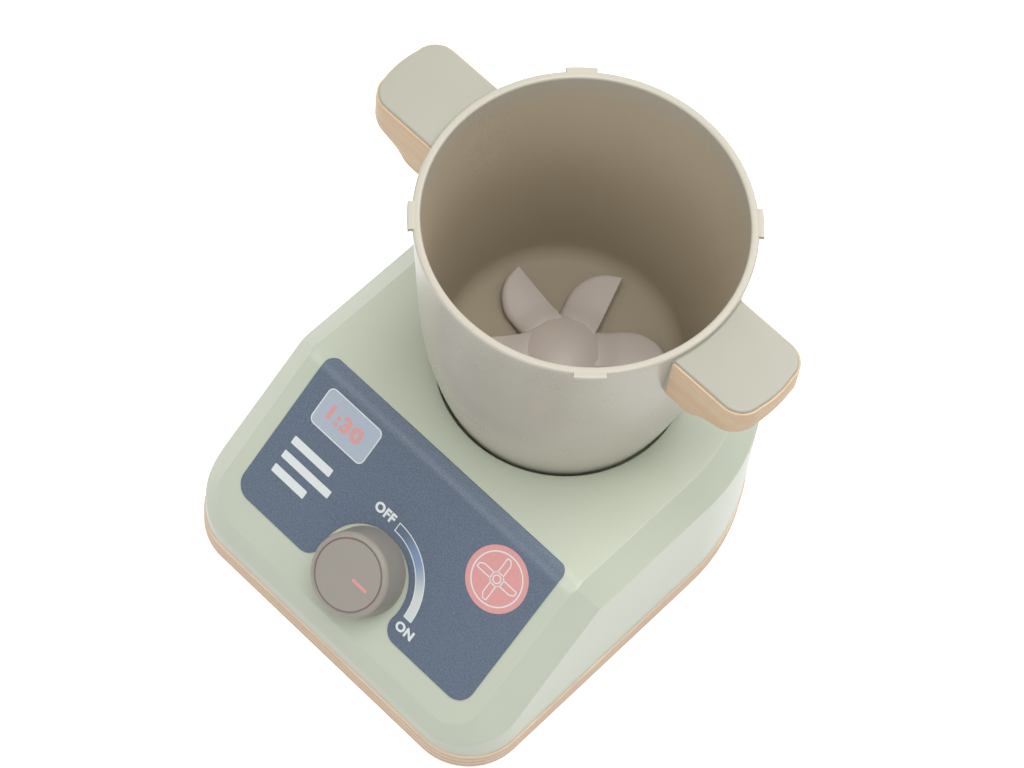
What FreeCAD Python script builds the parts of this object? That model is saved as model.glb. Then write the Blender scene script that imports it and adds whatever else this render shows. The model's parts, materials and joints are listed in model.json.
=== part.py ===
import FreeCAD, Part
import math
import os
import re

import Sketcher
from FreeCAD import Placement, Rotation, Vector

# Toy food processor: a wedge-shaped moulded housing on a plywood base, with a lift-off mixing
# pot, a rotary on-off knob and a battery drive that turns the rotor in the pot.
# Frame: +Z up, +X to the right seen from the front, -Y to the front, z = 0 on the table,
# origin at the middle of the base. Lengths in millimetres, angles in degrees.

DOC = FreeCAD.newDocument("toy_food_processor")
SHEET = DOC.addObject("Spreadsheet::Sheet", "Sizes")

SIZES = {
    # base and feet
    "base_width": 156.0,
    "front_corner_radius": 24.0,
    "plate_thickness": 10.0,
    "plate_edge_round": 0.8,
    "foot_height": 1.5,
    "foot_radius": 6.0,
    "foot_side_inset": 24.0,
    "foot_front_setback": 38.0,
    "foot_rear_inset": 22.0,
    "foot_rear_angle": 35.0,
    # housing
    "housing_inset": 0.6,
    "wall_draft": 1.0,
    "housing_wall": 2.4,
    "deck_height": 76.2,
    "ridge_setback": 60.0,
    "pot_behind_ridge": 62.0,
    "ridge_radius": 12.0,
    "slope_angle": 41.5,
    "band_width": 10.4,
    "front_band_inset": 4.6,
    "front_band_turn": 28.0,
    "boss_radius": 4.5,
    "boss_front_inset": 20.0,
    "boss_side_inset": 13.0,
    "boss_side_ahead": 34.0,
    "boss_rear_angle": 47.5,
    # recess for the pot
    "recess_clearance": 0.95,
    "recess_depth": 8.0,
    # control panel sheet
    "panel_thickness": 0.5,
    "panel_side_gap": 17.4,
    "panel_rear": 3.6,
    "panel_front_gap": 15.8,
    "panel_corner_radius": 7.0,
    "panel_rear_radius": 4.0,
    "panel_lip_radius": 3.6,
    "panel_knob_gap": 2.7,
    "panel_notch_drop": 2.5,
    # knob and switch
    "knob_front_gap": 29.2,
    "knob_base_radius": 16.8,
    "knob_top_radius": 16.0,
    "knob_height": 14.4,
    "knob_edge_round": 2.0,
    "knob_groove_radius": 13.6,
    "knob_groove_width": 0.5,
    "knob_groove_depth": 0.6,
    "knob_wall": 2.2,
    "knob_hub_radius": 5.5,
    "knob_gap": 0.4,
    "switch_shaft_radius": 3.0,
    "switch_shaft_reach": 8.6,
    "switch_size": 16.0,
    "switch_depth": 9.0,
    "switch_bush_radius": 4.0,
    "switch_bush_reach": 2.6,
    "switch_bush_depth": 6.0,
    "switch_tab_offset": 4.0,
    "switch_tab_length": 3.0,
    "switch_tab_width": 2.4,
    "switch_nut_flats": 11.0,
    "switch_nut_height": 1.8,
    "running_gap": 0.05,
    # screws
    "screw_radius": 1.5,
    "screw_head_radius": 3.0,
    "screw_head_height": 1.8,
    "housing_screw_length": 18.0,
    "small_screw_length": 9.0,
    "flange_screw_length": 7.0,
    "motor_screw_length": 5.0,
    "grip_screw_length": 10.0,
    # battery box
    "battery_behind_ridge": 10.0,
    "cell_radius": 7.2,
    "cell_length": 50.0,
    "cell_gap": 1.0,
    "box_wall": 1.8,
    "box_end_room": 4.0,
    "box_screw_room": 10.0,
    "box_post_radius": 3.4,
    "box_flange": 6.0,
    "box_flange_height": 2.0,
    "box_screw_spread": 11.0,
    "door_thickness": 2.4,
    "door_gap": 0.3,
    "contact_thickness": 0.4,
    "contact_width": 8.0,
    "contact_height": 12.0,
    "contact_tab_width": 4.0,
    "contact_tab_reach": 4.0,
    "cell_button_radius": 2.7,
    "cell_button_height": 1.5,
    # motor
    "motor_radius": 10.0,
    "motor_flat_width": 15.2,
    "motor_floor_gap": 4.1,
    "motor_nose_radius": 3.0,
    "motor_nose_height": 1.6,
    "motor_shaft_radius": 1.0,
    "motor_screw_spread": 7.0,
    "motor_tab_offset": 6.5,
    "motor_tab_length": 2.4,
    # gear train
    "gear_module": 0.8,
    "pinion_teeth": 10,
    "wheel_teeth": 38,
    "small_teeth": 12,
    "output_teeth": 40,
    "gear_width": 4.0,
    "gear_step": 1.0,
    "gear_addendum": 0.9,
    "gear_dedendum": 1.15,
    "gear_backlash": 0.14,
    "pressure_angle": 20.0,
    "gear_pin_radius": 1.5,
    "gear_hub_radius": 3.0,
    "shaft_boss_radius": 4.4,
    "case_hang": 9.0,
    "case_floor": 2.4,
    "case_wall": 2.0,
    "case_inner_height": 12.4,
    "case_margin": 5.0,
    "case_corner_radius": 6.0,
    # drive shaft and couplings
    "drive_radius": 3.0,
    "bush_wall": 2.0,
    "bush_flange": 3.0,
    "bush_flange_height": 1.0,
    "bush_stand": 0.4,
    "coupling_radius": 13.0,
    "coupling_plate": 1.6,
    "dog_height": 3.0,
    "dog_inner_radius": 7.0,
    "dog_count": 3,
    "dog_angle": 48.0,
    "coupling_gap": 0.4,
    "clip_radius": 5.0,
    "clip_thickness": 0.6,
    # pot
    "pot_rim_radius": 60.0,
    "pot_height": 114.3,
    "pot_wall": 3.0,
    "pot_taper": 4.84,
    "pot_bend_height": 58.0,
    "pot_bend_radius": 250.0,
    "pot_foot_inset": 4.2,
    "pot_foot_wall": 3.0,
    "pot_foot_height": 8.0,
    "pot_heel_height": 6.0,
    "pot_heel_radius": 7.0,
    "pot_floor": 3.0,
    "pot_floor_corner": 8.0,
    "pot_seat_gap": 0.2,
    "lug_width": 11.0,
    "lug_reach": 1.6,
    "lug_height": 1.8,
    "handle_boss_stand": 0.2,
    "handle_boss_half_width": 18.4,
    "handle_boss_margin": 1.0,
    "tongue_half_width": 16.5,
    "tongue_length": 30.1,
    "tongue_corner": 8.4,
    "tongue_bow": 0.9,
    "tongue_thickness": 2.6,
    "tongue_drop": 3.0,
    "tongue_post_radius": 3.2,
    "tongue_post_length": 8.0,
    # wooden handle blocks
    "grip_lip": 1.0,
    "grip_lip_drop": 0.9,
    "grip_depth": 24.2,
    "grip_deep_length": 6.0,
    "grip_belly_radius": 6.0,
    "grip_hollow_radius": 8.0,
    "grip_rise_angle": 55.0,
    "grip_tail_angle": 20.0,
    "grip_tip_round": 3.0,
    "grip_screw_near": 7.0,
    "grip_screw_far": 20.0,
    "grip_screw_depth": 12.0,
    "grip_post_gap": 0.2,
    # rotor in the pot
    "spindle_radius": 2.5,
    "spindle_boss_radius": 7.5,
    "spindle_boss_height": 2.5,
    "spindle_length": 13.6,
    "rotor_hub_radius": 15.3,
    "rotor_hub_height": 9.0,
    "rotor_hub_side": 4.6,
    "rotor_hub_wall": 2.2,
    "rotor_clearance": 1.0,
    "wing_count": 6,
    "wing_turn": 51.0,
    "wing_straight_side": 8.2,
    "wing_round_side": 7.4,
    "wing_tip_gap": 3.0,
    "wing_shoulder_drop": 14.5,
    "wing_tip_radius": 15.7,
    "wing_root_reach": 8.0,
    "wing_thickness": 2.2,
    "wing_rise": 1.4,
    "wing_low": 0.6,
    "wing_camber_radius": 24.0,
    # wires
    "wire_radius": 0.8,
    "wire_bend": 0.45,
}

for row, (alias, number) in enumerate(SIZES.items(), start=1):
    SHEET.set(f"A{row}", alias.replace("_", " "))
    SHEET.set(f"B{row}", str(number))
    SHEET.setAlias(f"B{row}", alias)
DOC.recompute()

# Lengths that several pieces share, as formulas over the sheet.
BASE_LENGTH = "(ridge_setback + pot_behind_ridge + base_width / 2)"
PLATE_TOP = "(foot_height + plate_thickness)"
FRONT_Y = f"(-{BASE_LENGTH} / 2)"
RIDGE_Y = f"({FRONT_Y} + ridge_setback)"
POT_Y = f"({RIDGE_Y} + pot_behind_ridge)"
SLOPE_LENGTH = "(ridge_setback / cos(slope_angle))"
KNOB_V = f"({SLOPE_LENGTH} - knob_front_gap)"
KNOB_Y = f"({RIDGE_Y} - {KNOB_V} * cos(slope_angle))"
KNOB_Z = f"(deck_height - {KNOB_V} * sin(slope_angle))"
PANEL_HALF = "(base_width / 2 - panel_side_gap)"

BEND_X = "(pot_rim_radius - (pot_height - pot_bend_height) * tan(pot_taper))"
BEND_CENTRE_X = f"({BEND_X} - pot_bend_radius * cos(pot_taper))"
BEND_CENTRE_Z = "(pot_bend_height + pot_bend_radius * sin(pot_taper))"
HEEL_X = f"({BEND_CENTRE_X} + sqrt(pot_bend_radius^2 - ({BEND_CENTRE_Z} - pot_heel_height)^2))"
FOOT_RADIUS = f"({HEEL_X} - pot_foot_inset)"
BOSS_RADIUS = "(pot_rim_radius + handle_boss_stand)"
TONGUE_REACH = "(pot_rim_radius + tongue_length)"
RECESS_RADIUS = (f"({BEND_CENTRE_X} + recess_clearance + sqrt(pot_bend_radius^2"
                 f" - ({BEND_CENTRE_Z} + pot_seat_gap - recess_depth)^2))")
RECESS_FLOOR = "(deck_height - recess_depth)"
WELL_UNDERSIDE = f"({RECESS_FLOOR} - housing_wall)"
POT_Z = f"({RECESS_FLOOR} + pot_seat_gap)"
RIM_Z = f"({POT_Z} + pot_height)"
POT_FLOOR_Z = f"({POT_Z} + pot_foot_height)"
TONGUE_Z = f"({RIM_Z} - tongue_drop - tongue_thickness)"
GRIP_SEAT_Z = f"({TONGUE_Z} - grip_screw_depth)"
WING_TIP = f"({FOOT_RADIUS} - wing_tip_gap)"

LID_TOP = f"({WELL_UNDERSIDE} - case_hang)"
CASE_TOP = f"({LID_TOP} - case_floor)"
CASE_INSIDE = f"({CASE_TOP} - case_inner_height)"
CASE_LOW = f"({CASE_INSIDE} - case_floor)"
MOTOR_LENGTH = f"({CASE_LOW} - {PLATE_TOP} - motor_floor_gap)"
MESH_OUTPUT = "((small_teeth + output_teeth) * gear_module / 2)"
MESH_MOTOR = "((pinion_teeth + wheel_teeth) * gear_module / 2)"
COMPOUND_Y = f"({POT_Y} + {MESH_OUTPUT})"
WHEEL_Z = f"({CASE_INSIDE} + gear_step)"
SMALL_Z = f"({WHEEL_Z} + gear_width)"
OUTPUT_Z = f"({SMALL_Z} + gear_step)"
DRIVE_PLATE_Z = f"({RECESS_FLOOR} + bush_stand + coupling_gap)"
POT_PLATE_Z = f"({POT_FLOOR_Z} - bush_stand - coupling_gap - coupling_plate)"
ROTOR_Z = f"({POT_FLOOR_Z} + pot_floor + rotor_clearance)"

CELL_PITCH = "(2 * cell_radius + cell_gap)"
BOX_Y = f"({RIDGE_Y} + battery_behind_ridge)"
CHAMBER_HALF_X = "((cell_length + box_end_room) / 2)"
BOX_HALF_X = f"({CHAMBER_HALF_X} + box_wall + box_screw_room)"
BOX_HALF_Y = f"(({CELL_PITCH} + 2 * cell_radius + cell_gap) / 2 + box_wall)"
BOX_BOTTOM = "(foot_height + door_thickness)"
BOX_HEIGHT = "(2 * cell_radius + cell_gap + box_wall)"
BOX_TOP = f"({BOX_BOTTOM} + {BOX_HEIGHT})"
CELL_Z = f"({BOX_BOTTOM} + cell_radius + cell_gap / 2)"
ROOM_X = f"({CHAMBER_HALF_X} + box_wall + (box_screw_room - box_wall) / 2)"

PARTS = []


# ---------------------------------------------------------------- helpers

def formula(text):
    """Put the sheet's name before each alias in an expression."""
    def named(match):
        word = match.group()
        return "Sizes." + word if word in SIZES else word
    return re.sub(r"[a-z][a-z_]*", named, text)


def size(text):
    """Give the number that an expression over the sheet stands for."""
    quantity = SHEET.evalExpression(formula(text))
    return float(getattr(quantity, "Value", quantity))


def bind(thing, **expressions):
    """Bind properties to the sheet; x, y, z stand for the placement's base."""
    for name, text in expressions.items():
        path = "Placement.Base." + name if name in ("x", "y", "z") else name
        thing.setExpression(path, formula(text))
    return thing


def publish(thing, label):
    """Give a finished sub-part its label and put it on the list to export."""
    thing.Label = label
    PARTS.append(thing)
    return thing


def new_body(name, **place):
    """Start a PartDesign body whose placement follows the sheet."""
    return bind(DOC.addObject("PartDesign::Body", name), **place)


def origin_plane(body, role):
    """Find one of a body's own origin planes by its role."""
    for feature in body.Origin.OriginFeatures:
        if feature.Role == role:
            return feature
    raise ValueError(role)


def new_sketch(body, name, plane="XY_Plane", lift=None):
    """Attach an empty sketch to an origin plane, lifted along its normal."""
    sketch = body.newObject("Sketcher::SketchObject", name)
    sketch.AttachmentSupport = [(origin_plane(body, plane), "")]
    sketch.MapMode = "FlatFace"
    if lift is not None:
        sketch.setExpression("AttachmentOffset.Base.z", formula(lift))
        sketch.AttachmentOffset = Placement(Vector(0, 0, size(lift)), Rotation())
    return sketch


def pin_point(sketch, edge, end, x_text, y_text):
    """Fix an edge's point at coordinates that follow the sheet."""
    for kind, text in (("DistanceX", x_text), ("DistanceY", y_text)):
        index = sketch.addConstraint(Sketcher.Constraint(kind, -1, 1, edge, end, size(text)))
        sketch.setExpression(f"Constraints[{index}]", formula(text))


def draw_loop(sketch, corners):
    """Draw a closed outline; a corner is (x, y) or (x, y, radius) of the arc that follows it.

    A positive radius turns left on the way to the next corner and a negative one turns right.
    """
    first = sketch.GeometryCount
    points = [Vector(size(corner[0]), size(corner[1]), 0) for corner in corners]
    total = len(corners)
    for index, corner in enumerate(corners):
        start = points[index]
        end = points[(index + 1) % total]
        if len(corner) == 2:
            sketch.addGeometry(Part.LineSegment(start, end))
            continue
        radius = size(corner[2])
        chord = end - start
        half = chord.Length / 2
        rise = abs(radius) - math.sqrt(max(radius * radius - half * half, 0.0))
        side = Vector(chord.y, -chord.x, 0).normalize() * math.copysign(rise, radius)
        middle = (start + end) / 2 + side
        sketch.addGeometry(Part.Arc(start, middle, end))
    for index, corner in enumerate(corners):
        edge = first + index
        following = first + (index + 1) % total
        turning_right = len(corner) == 3 and size(corner[2]) < 0
        start_end = (2, 1) if turning_right else (1, 2)
        next_corner = corners[(index + 1) % total]
        next_right = len(next_corner) == 3 and size(next_corner[2]) < 0
        next_start = 2 if next_right else 1
        sketch.addConstraint(Sketcher.Constraint("Coincident", edge, start_end[1], following, next_start))
    for index, corner in enumerate(corners):
        edge = first + index
        turning_right = len(corner) == 3 and size(corner[2]) < 0
        pin_point(sketch, edge, 2 if turning_right else 1, corner[0], corner[1])
        if len(corner) == 3:
            radius = abs(size(corner[2]))
            number = sketch.addConstraint(Sketcher.Constraint("Radius", edge, radius))
            sketch.setExpression(f"Constraints[{number}]", formula(f"abs({corner[2]})"))
    return sketch


def draw_circle(sketch, x_text, y_text, radius_text):
    """Draw a circle whose centre and radius follow the sheet."""
    edge = sketch.GeometryCount
    centre = Vector(size(x_text), size(y_text), 0)
    sketch.addGeometry(Part.Circle(centre, Vector(0, 0, 1), size(radius_text)))
    pin_point(sketch, edge, 3, x_text, y_text)
    index = sketch.addConstraint(Sketcher.Constraint("Radius", edge, size(radius_text)))
    sketch.setExpression(f"Constraints[{index}]", formula(radius_text))


def rounded_box(half_x, half_y, radius, centre_x="0", centre_y="0"):
    """List the corners of a rectangle with rounded corners, anticlockwise."""
    flat_x = f"({half_x} - {radius})"
    flat_y = f"({half_y} - {radius})"
    turns = [
        (f"-{flat_x}", f"-{half_y}"),
        (flat_x, f"-{half_y}", radius),
        (half_x, f"-{flat_y}"),
        (half_x, flat_y, radius),
        (flat_x, half_y),
        (f"-{flat_x}", half_y, radius),
        (f"-{half_x}", flat_y),
        (f"-{half_x}", f"-{flat_y}", radius),
    ]
    return [(f"{centre_x} + {turn[0]}", f"{centre_y} + {turn[1]}", *turn[2:]) for turn in turns]


def extrude(body, name, sketch, length, taper=None):
    """Pad a sketch by a length from the sheet, with a draft if one is given."""
    pad = body.newObject("PartDesign::Pad", name)
    pad.Profile = sketch
    bind(pad, Length=length)
    if taper is not None:
        bind(pad, TaperAngle=taper)
    return pad


def cut_pocket(body, name, sketch, length=None, upward=True):
    """Pocket a sketch, through all or to a depth, up or down from its plane."""
    pocket = body.newObject("PartDesign::Pocket", name)
    pocket.Profile = sketch
    pocket.Reversed = upward
    if length is None:
        pocket.Type = "ThroughAll"
    else:
        bind(pocket, Length=length)
    return pocket


def revolve(body, name, sketch):
    """Turn a profile in the XZ plane once round the body's Z axis."""
    turned = body.newObject("PartDesign::Revolution", name)
    turned.Profile = sketch
    turned.ReferenceAxis = (sketch, ["V_Axis"])
    turned.Angle = 360
    return turned


def turned_part(name, profile, **place):
    """Make a body by revolving a profile of (radius, height) corners."""
    body = new_body(name, **place)
    sketch = draw_loop(new_sketch(body, name + "_profile", "XZ_Plane"), profile)
    revolve(body, name + "_turned", sketch)
    return body


def cylinder(name, radius, height, **place):
    """Make a plain cylinder that follows the sheet."""
    return bind(DOC.addObject("Part::Cylinder", name), Radius=radius, Height=height, **place)


def boolean(kind, name, shapes):
    """Join many shapes with MultiFuse, or cut or intersect two with Cut or Common."""
    result = DOC.addObject("Part::" + kind, name)
    if kind == "MultiFuse":
        result.Shapes = shapes
    else:
        result.Base, result.Tool = shapes
    return result


def group(name, members):
    """Collect separate solids in one sub-part."""
    compound = DOC.addObject("Part::Compound", name)
    compound.Links = members
    return publish(compound, name)


def tilt_with_slope(thing, depth="0"):
    """Place a thing in the knob's frame: Z along the slope's normal, Y up the slope."""
    bind(
        thing,
        y=f"{KNOB_Y} - ({depth}) * sin(slope_angle)",
        z=f"{KNOB_Z} + ({depth}) * cos(slope_angle)",
    )
    thing.Placement.Rotation = Rotation(Vector(1, 0, 0), size("slope_angle"))
    thing.setExpression("Placement.Rotation.Angle", formula("slope_angle * 1 deg"))
    return thing


def mirrored_spots():
    """List the six housing screw places as (x, y) expressions."""
    rear = "(base_width / 2 - boss_side_inset)"
    spots = [
        ("(base_width / 2 - boss_front_inset)", f"({FRONT_Y} + boss_front_inset)"),
        ("(base_width / 2 - boss_side_inset)", f"({POT_Y} - boss_side_ahead)"),
        (f"({rear} * cos(boss_rear_angle))", f"({POT_Y} + {rear} * sin(boss_rear_angle))"),
    ]
    return [(f"{side} * {x}", y) for x, y in spots for side in (-1, 1)]


def screw(name, length, x, y, z, pointing_up=True):
    """Make one countersunk screw; its head's flat face lies at z."""
    way = 1 if pointing_up else -1
    profile = [
        ("0", "0"),
        ("screw_head_radius", "0"),
        ("screw_radius", f"{way} * screw_head_height"),
        ("screw_radius", f"{way} * ({length} - screw_radius)"),
        ("0", f"{way} * {length}"),
    ]
    if not pointing_up:
        profile.reverse()
    return turned_part(name, profile, x=x, y=y, z=z)


def base_outline(inset):
    """List the base's plan: straight front with round corners, half-round rear."""
    half = f"(base_width / 2 - ({inset}))"
    corner = f"(front_corner_radius - ({inset}))"
    front = f"({FRONT_Y} + ({inset}))"
    return [
        (f"-({half} - {corner})", front),
        (f"{half} - {corner}", front, corner),
        (half, f"{front} + {corner}"),
        (half, POT_Y, half),
        ("0", f"{POT_Y} + {half}", half),
        (f"-{half}", POT_Y),
        (f"-{half}", f"{front} + {corner}", corner),
    ]


# ---------------------------------------------------------------- base

def make_base_plate():
    """Plywood plate with the battery opening, screw holes and softened edges."""
    body = new_body("base_plate_body", z="foot_height")
    outline = draw_loop(new_sketch(body, "plate_outline"), base_outline("0"))
    plate = extrude(body, "plate", outline, "plate_thickness")
    DOC.recompute()
    flat = [
        f"Face{index}"
        for index, face in enumerate(plate.Shape.Faces, start=1)
        if abs(face.normalAt(0, 0).z) > 0.9
    ]
    rim = body.newObject("PartDesign::Chamfer", "plate_edges")
    rim.Base = (plate, flat)
    bind(rim, Size="plate_edge_round")
    opening = draw_loop(
        new_sketch(body, "battery_opening"),
        rounded_box(BOX_HALF_X, BOX_HALF_Y, "box_wall", "0", BOX_Y),
    )
    cut_pocket(body, "battery_cut", opening)
    holes = new_sketch(body, "screw_holes")
    heads = new_sketch(body, "screw_heads")
    for x, y in mirrored_spots():
        draw_circle(holes, x, y, "screw_radius")
        draw_circle(heads, x, y, "screw_head_radius")
    cut_pocket(body, "screw_cut", holes)
    sinks = cut_pocket(body, "screw_sinks", heads, "screw_head_height")
    bind(sinks, TaperAngle="-atan((screw_head_radius - screw_radius) / screw_head_height)")
    pilots = new_sketch(body, "flange_pilots", lift="plate_thickness")
    for x, y in flange_screw_spots():
        draw_circle(pilots, x, y, "screw_radius")
    last = cut_pocket(body, "pilot_cut", pilots, "flange_screw_length - box_flange_height", upward=False)
    body.Tip = last
    return publish(body, "base_plate")


def make_feet():
    """Four round rubber pads under the plate."""
    rear = "(base_width / 2 - foot_rear_inset)"
    spots = [
        ("(base_width / 2 - foot_side_inset)", f"{FRONT_Y} + foot_front_setback"),
        (f"{rear} * cos(foot_rear_angle)", f"{POT_Y} + {rear} * sin(foot_rear_angle)"),
    ]
    pads = [
        cylinder(f"foot_{index}_{side + 1}", "foot_radius", "foot_height", x=f"{side} * {x}", y=y)
        for index, (x, y) in enumerate(spots)
        for side in (-1, 1)
    ]
    return group("rubber_feet", pads)


def make_housing_screws():
    """Six screws that come up through the plate into the housing's bosses."""
    screws = [
        screw(f"housing_screw_{index}", "housing_screw_length", x, y, "foot_height")
        for index, (x, y) in enumerate(mirrored_spots())
    ]
    return group("housing_screws", screws)


# ---------------------------------------------------------------- housing

def crown_body(name, inset):
    """Facets at 45 degrees round the flat deck, as one tapered block."""
    crease = f"(base_width / 2 - housing_inset - band_width - ({inset}) * tan(22.5))"
    depth = "deck_height"
    half = f"({crease} + {depth})"
    reach = BASE_LENGTH
    body = new_body(name, z=f"deck_height - ({inset}) - {depth}")
    outline = [
        (f"-{half}", f"-{reach}"),
        (half, f"-{reach}"),
        (half, POT_Y, half),
        ("0", f"{POT_Y} + {half}", half),
        (f"-{half}", POT_Y),
    ]
    sketch = draw_loop(new_sketch(body, name + "_outline"), outline)
    extrude(body, name + "_pad", sketch, depth, "-45")
    return body


def slope_crown(name, inset):
    """Facets along both sides and the front of the slope, as one ruled loft."""
    body = DOC.addObject("PartDesign::Body", name)
    bind(
        body,
        y=f"{RIDGE_Y} + ({inset}) * sin(slope_angle)",
        z="deck_height - (" + inset + ") * cos(slope_angle)",
    )
    body.Placement.Rotation = Rotation(Vector(1, 0, 0), size("slope_angle"))
    body.setExpression("Placement.Rotation.Angle", formula("slope_angle * 1 deg"))
    crease = f"(base_width / 2 - housing_inset - band_width - ({inset}) * tan(22.5))"
    corner = "(front_corner_radius - band_width)"
    length = "((ridge_setback - housing_inset) / cos(slope_angle))"
    front = f"({length} - front_band_inset - ({inset}) * tan(front_band_turn / 2))"
    depth = BASE_LENGTH
    spread = f"({depth} / tan(front_band_turn))"
    back = BASE_LENGTH

    def section(suffix, lift, half, nose, radius):
        corners = [
            (f"-({half} - {radius})", f"-{nose}"),
            (f"{half} - {radius}", f"-{nose}", radius),
            (half, f"-({nose} - {radius})"),
            (half, back),
            (f"-{half}", back),
            (f"-{half}", f"-({nose} - {radius})", radius),
        ]
        return draw_loop(new_sketch(body, name + suffix, "XY_Plane", lift), corners)

    top = section("_top", "0", crease, front, corner)
    low = section("_low", f"-{depth}", f"({crease} + {depth})", f"({front} + {spread})",
                  f"({corner} + {depth})")
    loft = body.newObject("PartDesign::AdditiveLoft", name + "_loft")
    loft.Profile = low
    loft.Sections = [top]
    loft.Ruled = True
    return body


def side_profile(name, inset):
    """Side view of the housing's top: flat deck, rounded ridge, slope down to the front."""
    body = new_body(name, x="-base_width")
    deck = f"(deck_height - ({inset}))"
    ridge = f"({RIDGE_Y} + ({inset}) * tan(slope_angle / 2))"
    bend = f"(ridge_radius - ({inset}))"
    reach = f"({bend} * tan(slope_angle / 2))"
    front = f"({FRONT_Y} - 1)"
    corners = [
        (front, "0"),
        (BASE_LENGTH, "0"),
        (BASE_LENGTH, deck),
        (f"{ridge} + {reach}", deck, bend),
        (f"{ridge} - {reach} * cos(slope_angle)", f"{deck} - {reach} * sin(slope_angle)"),
        (front, f"{deck} - ({ridge} - {front}) * tan(slope_angle)"),
    ]
    sketch = draw_loop(new_sketch(body, name + "_outline", "YZ_Plane"), corners)
    extrude(body, name + "_pad", sketch, "2 * base_width")
    return body


def envelope(name, inset, floor):
    """Closed outer form of the housing, or its inside when an inset is given."""
    walls = new_body(name + "_walls", z=floor)
    outline = draw_loop(new_sketch(walls, name + "_plan"), base_outline(f"housing_inset + {inset}"))
    extrude(walls, name + "_wall_pad", outline, f"deck_height - {floor}", "-wall_draft")
    form = boolean("Common", name + "_decked", [walls, crown_body(name + "_crown", inset)])
    form = boolean("Common", name + "_sloped", [form, slope_crown(name + "_slope", inset)])
    return boolean("Common", name, [form, side_profile(name + "_side", inset)])


def make_housing():
    """Moulded shell with the pot's well, screw bosses, gear-case posts and switch hole."""
    outer = envelope("housing_outer", "0", PLATE_TOP)
    inner = envelope("housing_inner", "housing_wall", f"({PLATE_TOP} - 1)")
    well = cylinder("well_wall", f"{RECESS_RADIUS} + housing_wall", "recess_depth + housing_wall + 1",
                    y=POT_Y, z=WELL_UNDERSIDE)
    posts = [well]
    for index, (x, y) in enumerate(mirrored_spots()):
        posts.append(cylinder(f"boss_{index}", "boss_radius", "deck_height", x=x, y=y, z=PLATE_TOP))
    for index, (x, y) in enumerate(case_screw_spots()):
        posts.append(cylinder(f"case_post_{index}", "boss_radius", f"{WELL_UNDERSIDE} - {LID_TOP} + 1",
                              x=x, y=y, z=LID_TOP))
    filled = boolean("MultiFuse", "inside_posts", posts)
    hollow = boolean("Cut", "housing_hollow", [inner, filled])
    shell = boolean("Cut", "housing_shell", [outer, hollow])
    recess = cylinder("recess", RECESS_RADIUS, "recess_depth + 1", y=POT_Y, z=RECESS_FLOOR)
    bush_hole = cylinder("bush_hole", "drive_radius + bush_wall", "4 * housing_wall",
                         y=POT_Y, z=f"{WELL_UNDERSIDE} - housing_wall")
    switch_hole = tilt_with_slope(
        cylinder("switch_hole", "switch_bush_radius", "4 * housing_wall"), "-3 * housing_wall")
    tools = [recess, bush_hole, switch_hole]
    for index, (x, y) in enumerate(mirrored_spots()):
        tools.append(cylinder(f"boss_hole_{index}", "screw_radius", "housing_screw_length",
                              x=x, y=y, z="foot_height"))
    for index, (x, y) in enumerate(case_screw_spots()):
        tools.append(cylinder(f"post_hole_{index}", "screw_radius", CASE_SCREW_LENGTH,
                              x=x, y=y, z=CASE_LOW))
    drilled = boolean("Cut", "housing_drilled", [shell, boolean("MultiFuse", "housing_holes", tools)])
    DOC.recompute()
    return publish(drilled, "base_housing")


# ---------------------------------------------------------------- control panel and knob

def make_control_overlay():
    """Thin printed sheet over the ridge and slope, with a notch that clears the knob."""
    skin = boolean("Cut", "overlay_skin", [
        side_profile("overlay_top", "-panel_thickness"), side_profile("overlay_bottom", "0")])
    outline_body = tilt_with_slope(new_body("overlay_outline_body"), "-deck_height / 4")
    cut = "(knob_base_radius + panel_knob_gap)"
    rise = "(knob_front_gap - panel_notch_drop - panel_front_gap - panel_lip_radius)"
    lip_x = f"sqrt(({cut} + panel_lip_radius)^2 - {rise}^2)"
    near_x = f"({lip_x} * {cut} / ({cut} + panel_lip_radius))"
    near_v = f"(-{rise} * {cut} / ({cut} + panel_lip_radius) - panel_notch_drop)"
    front = "(panel_front_gap - knob_front_gap)"
    rear = f"({KNOB_V} + panel_rear * cos(slope_angle))"
    corners = [
        (f"-({PANEL_HALF} - panel_corner_radius)", front),
        (f"-{lip_x}", front, "panel_lip_radius"),
        (f"-{near_x}", near_v, f"-{cut}"),
        ("0", f"{cut} - panel_notch_drop", f"-{cut}"),
        (near_x, near_v, "panel_lip_radius"),
        (lip_x, front),
        (f"{PANEL_HALF} - panel_corner_radius", front, "panel_corner_radius"),
        (PANEL_HALF, f"{front} + panel_corner_radius"),
        (PANEL_HALF, f"{rear} - panel_rear_radius", "panel_rear_radius"),
        (f"{PANEL_HALF} - panel_rear_radius", rear),
        (f"-({PANEL_HALF} - panel_rear_radius)", rear, "panel_rear_radius"),
        (f"-{PANEL_HALF}", f"{rear} - panel_rear_radius"),
        (f"-{PANEL_HALF}", f"{front} + panel_corner_radius", "panel_corner_radius"),
    ]
    sketch = draw_loop(new_sketch(outline_body, "overlay_outline"), corners)
    extrude(outline_body, "overlay_prism", sketch, "deck_height / 2")
    return publish(boolean("Common", "overlay", [skin, outline_body]), "control_overlay")


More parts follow.
